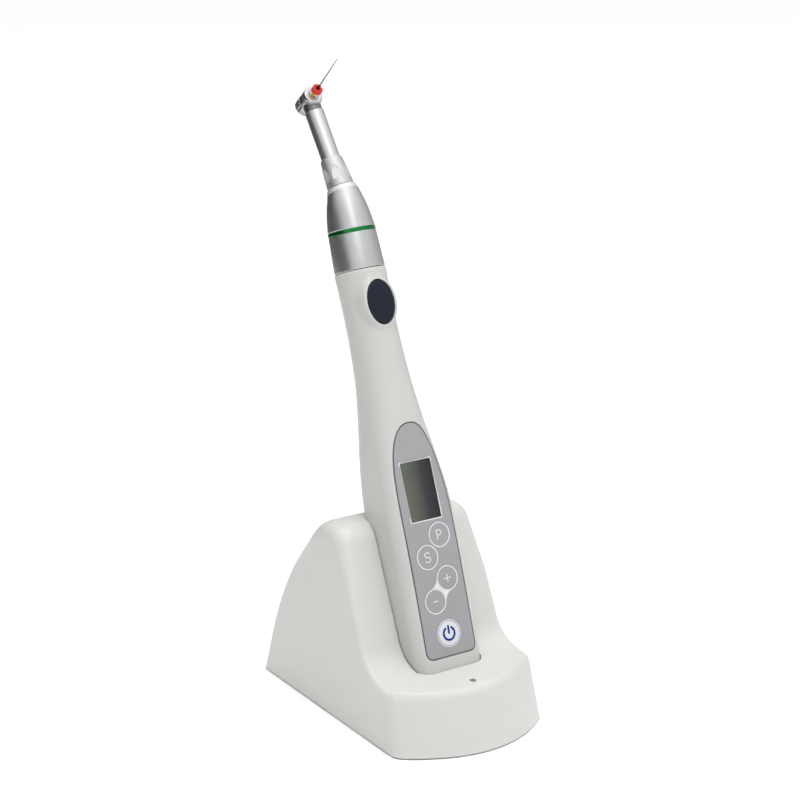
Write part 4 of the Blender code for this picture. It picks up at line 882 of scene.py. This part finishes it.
def key_centre(name):
    x, height, _ = KEYS[name]
    return x, PANEL_FOOT + height


def printed(name, outline, holes, look, body, slot, lift=0.00003, spacing=0.0012):
    """A thin layer of print on the panel's front, also used for a band of painted shade round its edge."""
    shape = sheet(outline, holes, over(-lift), over(0.00006), spacing)
    return finish_mesh(name, shape, HAND, look, body=body, slot=slot, angle=50)


def make_panel():
    holes = [display_outline()]
    for x, height, radius in KEYS.values():
        holes.append(circle(radius + 0.00004, 72, (x, PANEL_FOOT + height)))
    film = finish_mesh("panel_film", sheet(panel_outline(), holes, over(0.00006), over(0.0008)), HAND,
                       "grey_film",
                       "control_panel")
    soften(film, 0.00006, 2)
    dress(film, "grey_film", angle=30)

    screen = finish_mesh("display_window", sheet(display_outline(-0.00006), [], over(0.00012),
                                                 over(0.0012), 0.0014), HAND,
                         "display_glass", "lcd_display")
    soften(screen, 0.00008, 2)
    dress(screen, "display_glass", angle=30)
    printed("display_border", display_outline(0.00042, 0.0006), [display_outline(0.00002)], "print_light",
            "handpiece",
            "grey_film", lift=0.0, spacing=0.0008)

    # a dark band round the panel's edge, painted shade for the gap between panel and pocket
    printed("panel_seam_painted_shade", panel_outline(-0.00001), [panel_outline(-0.00026)], "seam_painted_shade", "handpiece",
            "grey_film",
            lift=0.0, spacing=0.0008)

    for name, (x, height, radius) in KEYS.items():
        centre = (x, PANEL_FOOT + height)
        body = BODY_OF[name]
        look = "grey_film"
        top = over(0.00003)
        key = finish_mesh(name + "_cap", sheet(circle(radius, 72, centre), [], top, over(0.0006), 0.0010),
                          HAND,
                          look, name)
        stem = as_cutter(prism(circle(0.0012, 24, centre), face_y(*centre) + 0.0004, -0.0074), HAND)
        carve(key, [stem], "UNION")
        soften(key, 0.00005, 2)
        dress(key, look, angle=30)
        if name != "key_power":
            printed(name + "_ring", circle(radius - 0.00003, 72, centre), [circle(radius - 0.00045, 72,
                                                                                  centre)],
                    "print_light", body, "grey_film")
    cx, cz = key_centre("key_program")
    left, low, high = cx - 0.00105, cz - 0.0018, cz + 0.0018
    bowl = [(left, high), (left + 0.0011, high)]
    bowl += arc_points((left + 0.0011, high - 0.00095), 0.00095, 90, -90, 14)[1:]
    bowl += [(left, high - 0.0019)]
    printed("mark_p_stem", stroke([(left, low), (left, high)], PRINT_WIDTH), [], "print_light",
            "program_key", "grey_film")
    printed("mark_p_bowl", stroke(bowl, PRINT_WIDTH), [], "print_light", "program_key", "grey_film",
            lift=0.00002)
    cx, cz = key_centre("key_speed")
    curve = arc_points((cx, cz + 0.00095), 0.00115, 25, 270, 20, 0.83)
    curve += arc_points((cx, cz - 0.00095), 0.00122, 90, -155, 20, 0.80)[1:]
    printed("mark_s", stroke(curve, PRINT_WIDTH), [], "print_light", "speed_key", "grey_film")
    cx, cz = key_centre("key_plus")
    a, b = 0.0016, 0.00018
    plus = [(cx - a, cz - b), (cx - b, cz - b), (cx - b, cz - a), (cx + b, cz - a), (cx + b, cz - b),
            (cx + a, cz - b),
            (cx + a, cz + b), (cx + b, cz + b), (cx + b, cz + a), (cx - b, cz + a), (cx - b, cz + b),
            (cx - a, cz + b)]
    printed("mark_plus", plus, [], "print_light", "plus_key", "grey_film")
    cx, cz = key_centre("key_minus")
    printed("mark_minus", stroke([(cx - 0.0011, cz), (cx + 0.0011, cz)], 0.0004, round_ends=False), [],
            "print_light", "minus_key", "grey_film")

    # the pale web between the two rings
    ax, az = key_centre("key_plus")
    bx, bz = cx, cz
    toward = math.degrees(math.atan2(bz - az, bx - ax))
    reach, spread = 0.00496, 60
    upper = arc_points((ax, az), reach, toward + spread, toward - spread, 20)
    lower = arc_points((bx, bz), reach, toward + 180 + spread, toward + 180 - spread, 20)
    middle = ((ax + bx) / 2, (az + bz) / 2)

    def waist(start, end, pull=0.45):
        """A side of the web, drawn in towards its middle."""
        points = []
        for i in range(1, 10):
            t = i / 10
            control = (middle[0] + ((start[0] + end[0]) / 2 - middle[0]) * (1 - pull),
                       middle[1] + ((start[1] + end[1]) / 2 - middle[1]) * (1 - pull))
            points.append(tuple((1 - t) ** 2 * s + 2 * t * (1 - t) * c + t * t * e
                                for s, c, e in zip(start, control, end)))
        return points

    web = upper + waist(upper[-1], lower[0]) + lower + waist(lower[-1], upper[0])
    printed("ring_web", web, [], "print_light", "handpiece", "grey_film", lift=0.0, spacing=0.0006)

    cx, cz = key_centre("key_power")
    printed("power_disc", circle(0.0047, 96, (cx, cz)), [], "power_key", "power_button", "power_key",
            spacing=0.0009)
    printed("power_ring", circle(0.00536, 96, (cx, cz)), [circle(0.00505, 96, (cx, cz))], "print_light",
            "power_button", "grey_film")
    arc = arc_points((cx, cz - 0.0001), 0.00250, 124, 416, 40)
    printed("mark_power_arc", stroke(arc, 0.00090), [], "print_blue", "power_button", "power_key",
            lift=0.00006)
    printed("mark_power_bar", stroke([(cx, cz + 0.0001), (cx, cz + 0.0028)], 0.00090), [], "print_blue",
            "power_button", "power_key", lift=0.00006)


def make_trigger():
    rows = [[(0, -0.0107, 0)]]
    face = [(0.15, -0.01069), (0.35, -0.01066), (0.55, -0.01060), (0.75, -0.01051), (0.88, -0.01042),
            (0.94, -0.01034), (0.975, -0.01022), (0.993, -0.01008), (1.0, -0.00990), (1.0, -0.0076)]
    for share, y in face:
        rows.append([(share * TRIGGER_SEMI[0] * c, y, share * TRIGGER_SEMI[1] * s) for c,
                     s in circle(1, 128)])
    place = HAND @ Matrix.Translation((0, 0, TRIGGER_Z))
    button = finish_mesh("trigger_cap", skinned(rows), place, "navy_rubber", "trigger_button")
    carve(button, [as_cutter(prism(circle(0.0015, 24), -0.0090, -0.0071), place)], "UNION")
    dress(button, "navy_rubber", angle=40)


# ---------------------------------------------------------------- the contra-angle

def make_sleeve():
    profile = [(0.0094, 0.0146, 0.0001), (0.0100, 0.0005, 0.0001), (0.0099, 0.0003, 0.0001),
               (0.0049, 0.0003, 0.0003)]
    profile += [(0.0049, 0.0148, 0.0002), (0.0070, 0.0148, 0.0001), (0.0070, 0.0173, 0.0001),
                (0.0083, 0.0173, 0.0001)]
    profile += [(0.0083, 0.0146)]
    turned("coupling_sleeve", profile, HAND, "satin_hand", 128, node_name="rear_sleeve")
    turned("ratio_ring", [(0.00942, 0.01610, 0.00015), (0.00942, 0.01480, 0.00015), (0.0086, 0.01480, 0.0001),
                          (0.0086, 0.01610, 0.0001)], HAND, "green_ring", 128, node_name="reduction_ring")

    bend = HAND.inverted() @ NECK
    lean = math.atan2(bend[1][2], bend[2][2])
    mouth = (bend @ Vector((0, 0, 0.0012)))
    outer = [(0.0163, 0.00925, 0), (0.0165, 0.00935, 0), (0.0180, 0.00915, 0), (0.0200, 0.00887, 0),
             (0.0220, 0.00857, 0), (0.0240, 0.00821, 0), (0.0257, 0.00785, 0), (0.0270, 0.00752, 0.10),
             (0.0282, 0.00718, 0.28), (0.0292, 0.00690, 0.48), (0.0300, 0.00668, 0.70), (0.0306, 0.00652,
                                                                                         0.90),
             (0.0309, 0.00646, 0.98), (0.0311, 0.00640, 1.0), (0.0327, 0.00592, 1.0), (0.0329, 0.00582, 1.0)]
    inner = [(0.0329, 0.00560, 1.0), (0.0326, 0.00550, 1.0), (0.0300, 0.00545, 0.7), (0.0285, 0.0058, 0.3),
             (0.0232, 0.0075, 0), (0.0178, 0.0075, 0), (0.0177, 0.0086, 0), (0.0163, 0.0086, 0)]
    rows = []
    for z, radius, share in outer + inner:
        tilt = lean * share
        drop = max(0.0, (z - 0.0257) / (mouth.z - 0.0257))
        centre = Vector((0, mouth.y * drop * drop, z))
        row = []
        for x, y in circle(radius, 128):
            row.append((x, centre.y + y * math.cos(tilt), centre.z - y * math.sin(tilt)))
        rows.append(row)
    shape = skinned(rows, closed=True)
    for face in shape.faces:
        spot = sum((v.co for v in face.verts), Vector()) / len(face.verts)
        if spot.z + math.tan(lean) * (spot.y - mouth.y) > 0.0309:
            face.material_index = 1
    finish_mesh("gear_sheath", shape, HAND, "satin_hand", "sheath", angle=24, extra=("blasted_lip",))


def make_neck():
    grip = [(0.0040, 0.01385, 0.0001), (0.0043, 0.0135, 0.0003), (0.00452, 0.0121, 0.002), (0.0048, 0.0095,
                                                                                            0.004),
            (0.00512, 0.0068, 0.004), (0.0053, 0.0040, 0.004), (0.00536, 0.0015, 0.0001), (0.0040, 0.0015,
                                                                                           0.0001)]
    collar = turned("finger_collar", grip, NECK, "satin_collar", 160, 8, node_name="grip_collar")
    cutters = []
    for number in range(6):
        place = NECK @ Matrix.Rotation(math.radians(30 + 60 * number), 4, "Z")
        shield = [(-0.00205, 0.0040, 0.0009), (0.00205, 0.0040, 0.0009), (0.00185, 0.0068, 0.0025),
                  (0.0006, 0.0096, 0.0007), (-0.0006, 0.0096, 0.0007), (-0.00185, 0.0068, 0.0025)]
        outline = [tuple(p) for p in rounded(shield, 6)]
        low = [(x, -0.00462 - 0.010 * max(0.0, 0.0068 - z), z) for x, z in outline]
        cutters.append(as_cutter(skinned([[(x, -0.0075, z) for x, z in outline], low]), place))
    carve(collar, cutters)
    soften(collar, 0.00008, 2, 25)
    dress(collar, "satin_collar", angle=30, extra=("pad_blast_and_painted_highlight",))
    back = NECK.inverted()
    outside = [corner[:2] for corner in reversed(grip[2:7])]
    # sunk pads take the brighter, rougher steel: a blast finish with a painted highlight
    for face in collar.data.polygons:
        spot = back @ face.center
        aim = back.to_3x3() @ face.normal
        for (wide, low), (narrow, high) in zip(outside, outside[1:]):
            if low <= spot.z < high:
                round_radius = wide + (narrow - wide) * (spot.z - low) / (high - low)
                sunk = round_radius - math.hypot(spot.x, spot.y)
                if sunk > 0.00005 and 0.0038 < spot.z < 0.0100 and aim.x * spot.x + aim.y * spot.y > 0.0040:
                    face.material_index = 1

    reach = (HEAD.translation - NECK.translation).length
    top = reach - 0.0050
    turned("neck_tube_fine", [(0.0037, 0.0024), (0.00372, top - 0.00035, 0.00006), (0.00342, top, 0.00005),
                              (0.0031, top, 0.0001), (0.0030, 0.0024)], NECK, "satin_neck", 128,
                              node_name="neck_tube")


def facet(vert, reach):
    """Draw a point in towards one of twelve shallow finger flats."""
    phase = math.atan2(vert.co.y, vert.co.x) * 12
    vert.co.xy = vert.co.xy * (1 - 0.00016 * (0.5 - 0.5 * math.cos(phase)) / reach)


def make_head():
    face, back = 0.0038, -0.0043
    radius = 0.00395
    housing = [(0.00188, face, 0.0001), (0.0032, face, 0.0002), (0.00375, face - 0.0003, 0.0003),
               (radius, face - 0.0010, 0.0003), (radius, 0.0018, 0.0001), (radius - 0.00006, 0.0017, 0.00005),
               (radius - 0.00006, 0.0015, 0.00005), (radius, 0.0014, 0.0001), (radius, -0.0016, 0.0001),
               (radius - 0.00010, -0.0017, 0.00005), (radius - 0.00010, -0.0018, 0.00005),
               (radius + 0.00018, -0.0020, 0.0001), (radius + 0.00022, back, 0.0001),
               (0.0033, back, 0.0001), (0.0033, face - 0.0007, 0.0001), (0.00188, face - 0.0007, 0.0001)]
    shell = lathe(housing, 144, 5)
    for vert in shell.verts:
        reach = math.hypot(vert.co.x, vert.co.y)
        if reach > radius + 0.0001:
            facet(vert, reach)
    for face in shell.faces:
        # faces on the front face take the brighter copy of the steel, a painted highlight; the rest take the
        # darker copy, painted shade
        if all(v.co.z > 0.0034 for v in face.verts):
            face.material_index = 1
    finish_mesh("head_body", shell, HEAD, "head_painted_shade", "head_housing", extra=("face_painted_highlight",))
    reach = (HEAD.translation - NECK.translation).length
    local = HEAD.inverted() @ NECK
    rows = []
    steps = 96
    thin, fillet = 0.00345, 0.0009
    # a throat that flares from the neck into the head's side
    for ring in range(15):
        t = ring / 14
        row = []
        for i in range(steps):
            angle = 2 * math.pi * i / steps
            start = reach - 0.0056
            foot = Vector((thin * math.cos(angle), thin * math.sin(angle), start))
            aim = (local @ foot, (local.to_3x3() @ Vector((0, 0, 1))))
            a = aim[1].x ** 2 + aim[1].y ** 2
            b = aim[0].x * aim[1].x + aim[0].y * aim[1].y
            c = aim[0].x ** 2 + aim[0].y ** 2 - (radius - 0.0003) ** 2
            run = (-b - math.sqrt(max(b * b - a * c, 0.0))) / a
            height = start + run * t
            left = run * (1 - t)
            flare = 0.0
            if left < fillet:
                flare = fillet - math.sqrt(max(fillet * fillet - (fillet - left) ** 2, 0.0))
            spread = thin + flare * 0.75
            row.append((spread * math.cos(angle), spread * math.sin(angle), height))
        rows.append(row)
    inner = []
    for ring in (14, 0):
        inner.append([(x * 0.86, y * 0.86, z) for x, y, z in rows[ring]])
    throat = skinned(rows + inner, closed=True)
    # the darkened steel here is painted shade
    finish_mesh("head_throat", throat, NECK, "throat_painted_shade", body=BODY_OF["head_housing"],
                slot="satin_steel")

    low, high = -0.0057, -0.0044
    ring = lathe([(0.00415, high, 0.00008), (0.0042, high - 0.0004, 0.0002), (0.0042, low + 0.0004, 0.0003),
                  (0.0039, low, 0.0003), (0.0031, low, 0.0002), (0.0031, high, 0.0001)], 144, 5)
    for vert in ring.verts:
        reach = math.hypot(vert.co.x, vert.co.y)
        if reach > 0.0038:
            facet(vert, reach)
    finish_mesh("head_grip_ring", ring, HEAD, "head_painted_shade", "head_back_ring", angle=30)
    turned("release_button", [(0, low + 0.0016), (0.0026, low + 0.0016, 0.0002), (0.0028, low + 0.0014,
                                                                                  0.0002),
                              (0.0028, low, 0.0003), (0.0023, low - 0.0002, 0.0004), (0, low - 0.00012)],
           HEAD, "head_painted_shade", 96, node_name="push_button")


def make_file():
    low, high = -0.0024, 0.0056
    shank = [(0, high), (0.0007, high, 0.0001), (0.0010, high - 0.0003, 0.0001), (0.0010, high - 0.0009,
                                                                                  0.0001)]
    r = 0.001175
    shank += [(r, high - 0.0011, 0.0001), (r, high - 0.0040, 0.0001), (0.0009, high - 0.0042, 0.0001)]
    shank += [(0.0009, high - 0.0047, 0.0001), (r, high - 0.0049, 0.0001), (r, low + 0.0002, 0.0001)]
    shank += [(r - 0.0002, low, 0.0001), (0, low)]
    handle = turned("latch_shank", shank, HEAD, "brass_head", 64, node_name="file_shank")
    carve(handle, [as_cutter(bar(0.00065, high - 0.0030, high + 0.001, 24), HEAD)])
    dress(handle, "brass_head")
    tip, start = 0.0274, high - 0.0026
    rows, turns, count = [], [], 420
    for i in range(count + 1):
        z = start + (tip - start) * i / count
        share = i / count
        radius = 0.00038 - 0.00026 * share
        if share > 0.985:
            radius *= 1 - 0.75 * ((share - 0.985) / 0.015) ** 2
        turn = 0.0 if z < 0.0095 else (z - 0.0095) * 1100 * (1 + 0.25 * share)
        turns.append(turn)
        depth = min(1.0, max(0.0, (z - 0.0088) / 0.0010))
        row = []
        for k in range(24):
            angle = 2 * math.pi * k / 24
            # three cutting edges with concave flutes between them
            wave = (1 + math.cos(3 * (angle - turn))) / 2
            bite = radius * (1 - depth * 0.42 * (1 - wave ** 0.6))
            row.append((bite * math.cos(angle), bite * math.sin(angle), z))
        rows.append(row)
    blade = skinned(rows)
    for face in blade.faces:
        # dark bands that wind along the working part
        spot = sum((v.co for v in face.verts), Vector()) / len(face.verts)
        ring = min(count, int((spot.z - start) / (tip - start) * count))
        if ring > 90 and math.cos(math.atan2(spot.y, spot.x) - 2.4 * turns[ring]) < 0.1:
            face.material_index = 1
    finish_mesh("fluted_blade", blade, HEAD, "blue_file", "file_blade", angle=60, extra=("dark_flute",))
    low, high = 0.0058, 0.0081
    stop = lathe([(0.0022, high, 0.0006), (0.0022, low, 0.0006), (0.00055, low, 0.0002),
                  (0.00045, low + 0.0008, 0.0001), (0.00062, low + 0.0010, 0.0001), (0.00098, high,
                                                                                     0.0002)], 96, 7)
    for vert in stop.verts:
        # three shallow finger notches round the outside
        reach = math.hypot(vert.co.x, vert.co.y)
        phase = math.cos(3 * (math.atan2(vert.co.y, vert.co.x) - math.radians(130)))
        if reach > 0.0012:
            vert.co.xy = vert.co.xy * (1 - 0.00030 * max(0.0, phase) ** 4 / 0.0022)
    finish_mesh("depth_stop", stop, HEAD, "red_silicone", "file_stopper")


# ---------------------------------------------------------------- carried-over nodes

def dress_cad():
    for name, item in frame["nodes"].items():
        slot = next((s["material_slot"] for s in frame["record"]["subparts"] if s["node"] == name), None)
        look = NODE_LOOK.get(name, SLOT_LOOK.get(slot, slot))
        for index in range(max(1, len(item.material_slots))):
            if item.material_slots:
                item.material_slots[index].material = MATERIAL[look]


# ---------------------------------------------------------------- studio

def make_stage():
    shape = bmesh.new()
    bmesh.ops.create_grid(shape, x_segments=2, y_segments=2, size=9.0)
    floor = linked("floor", shape)
    floor.location.z = -0.00005

    def paper(tree, shader):
        where = coords(tree)
        link(tree, ramp(tree, noise(tree, where, 0.8, 3), [(0.3, (0.93, 0.93, 0.93)),
                                                           (0.7, (0.95, 0.95, 0.95))]),
             shader.inputs["Base Color"])
        shader.inputs["Roughness"].default_value = 0.9
        shader.inputs["Specular IOR Level"].default_value = 0.1
    floor.data.materials.append(material("paper", paper))

    world = bpy.data.worlds.new("studio")
    bpy.context.scene.world = world
    world.use_nodes = True
    tree = world.node_tree
    split = tree.nodes.new("ShaderNodeSeparateXYZ")
    link(tree, tree.nodes.new("ShaderNodeTexCoord").outputs["Generated"], split.inputs["Vector"])
    zenith = tree.nodes.new("ShaderNodeMath")
    zenith.operation = "POWER"
    link(tree, split.outputs["Z"], zenith.inputs[0])
    zenith.inputs[1].default_value = 4.0
    total = 0.325
    for source, weight in ((split.outputs["X"], 0.06), (split.outputs["Y"], -0.08), (split.outputs["Z"],
                                                                                     0.42),
                           (zenith.outputs["Value"], 1.15)):
        step = tree.nodes.new("ShaderNodeMath")
        step.operation = "MULTIPLY_ADD"
        link(tree, source, step.inputs[0])
        step.inputs[1].default_value = weight
        if isinstance(total, float):
            step.inputs[2].default_value = total
        else:
            link(tree, total, step.inputs[2])
        total = step.outputs["Value"]
    link(tree, total, tree.nodes["Background"].inputs["Strength"])
    tree.nodes["Background"].inputs["Color"].default_value = (1.0, 1.0, 1.0, 1)

    # a far white wall that only the camera sees, behind the floor's edge
    shape = bmesh.new()
    bmesh.ops.create_cone(shape, cap_ends=False, segments=64, radius1=8.6, radius2=8.6, depth=12.0)
    wall = linked("wall", shape)
    wall.visible_diffuse = False
    wall.visible_glossy = False
    wall.visible_transmission = False
    wall.visible_shadow = False

    def canvas(tree, shader):
        shader.inputs["Base Color"].default_value = (0, 0, 0, 1)
        shader.inputs["Specular IOR Level"].default_value = 0.0
        link(tree, ramp(tree, noise(tree, coords(tree), 0.8, 3), [(0.3, 0.98), (0.7, 1.0)]),
             shader.inputs["Emission Color"])
        shader.inputs["Emission Strength"].default_value = 1.0
    wall.data.materials.append(material("canvas", canvas))

    # a screen round the object that only shows in its metal: dark on one side, grey on the other
    shape = bmesh.new()
    glow = []
    rings = []
    for turn in range(-180, 181, 6):
        angle = math.atan2(-0.82, -0.573) + math.radians(turn)
        ring = []
        for z in (0.0, 0.08, 0.16, 0.22, 0.28, 0.34, 0.42, 0.50):
            edge = -20 - 17 * min(1.0, max(0.0, (z - 0.14) / 0.14))
            rise = min(1.0, max(0.0, (turn - edge + 14) / 28))
            dim = 0.06 + 0.40 * max(0.0, (-138 - turn) / 42)
            lit = 0.76 - 0.36 * min(1.0, max(0.0, (turn - 60) / 90))
            value = dim + (lit - dim) * rise * rise * (3 - 2 * rise)
            value += (0.85 - value) * max(0.0, (z - 0.34) / 0.16)
            ring.append(shape.verts.new((0.5 * math.cos(angle), 0.03 + 0.5 * math.sin(angle), z)))
            glow.append(value)
        rings.append(ring)
    for near, far in zip(rings, rings[1:]):
        for i in range(len(near) - 1):
            shape.faces.new((near[i], far[i], far[i + 1], near[i + 1]))
    screen = linked("screen", shape)
    layer = screen.data.color_attributes.new("glow", "FLOAT_COLOR", "POINT")
    for point, value in zip(layer.data, glow):
        point.color = (value, value, value, 1)
    screen.visible_camera = False
    screen.visible_diffuse = False
    screen.visible_shadow = False

    def silk(tree, shader):
        shade = tree.nodes.new("ShaderNodeVertexColor")
        shade.layer_name = "glow"
        shader.inputs["Base Color"].default_value = (0, 0, 0, 1)
        shader.inputs["Specular IOR Level"].default_value = 0.0
        link(tree, shade.outputs["Color"], shader.inputs["Emission Color"])
        shader.inputs["Emission Strength"].default_value = 1.0
    screen.data.materials.append(material("silk", silk))


def area_light(name, place, target, size, power, colour=(1, 1, 1)):
    data = bpy.data.lights.new(name, "AREA")
    data.shape = "RECTANGLE"
    data.size, data.size_y = size
    data.energy = power
    data.color = colour
    item = bpy.data.objects.new(name, data)
    bpy.context.scene.collection.objects.link(item)
    item.location = place
    item.rotation_euler = (Vector(target) - Vector(place)).to_track_quat("-Z", "Y").to_euler()
    return item


def make_lights():
    target = (0, 0, 0.12)
    key = area_light("key", (0.45, -0.80, 1.60), target, (0.9, 0.9), 1.8)
    key.visible_glossy = False
    above = area_light("above", (-0.15, -0.30, 1.60), target, (0.9, 0.9), 12.0)
    above.visible_glossy = False
    area_light("strip", (-0.30, -0.90, 1.15), (0, 0.03, 0.2), (0.50, 0.70), 1.1)


def make_camera():
    data = bpy.data.cameras.new("camera")
    data.lens = 110.65
    data.sensor_width = 36.0
    data.clip_start = 0.01
    camera = bpy.data.objects.new("camera", data)
    bpy.context.scene.collection.objects.link(camera)
    target = Vector((0.0025, -0.00005, 0.1226))
    back = Vector((-0.5483, -0.7845, 0.2897)).normalized()
    camera.location = target + back * 0.950
    camera.rotation_euler = (-back).to_track_quat("-Z", "Y").to_euler()
    bpy.context.scene.camera = camera
    bpy.context.scene.view_settings.view_transform = "Standard"
    bpy.context.scene.view_settings.look = "None"


dress_cad()
make_base()
make_shells()
make_panel()
make_trigger()
make_sleeve()
make_neck()
make_head()
make_file()
make_stage()
make_lights()
make_camera()
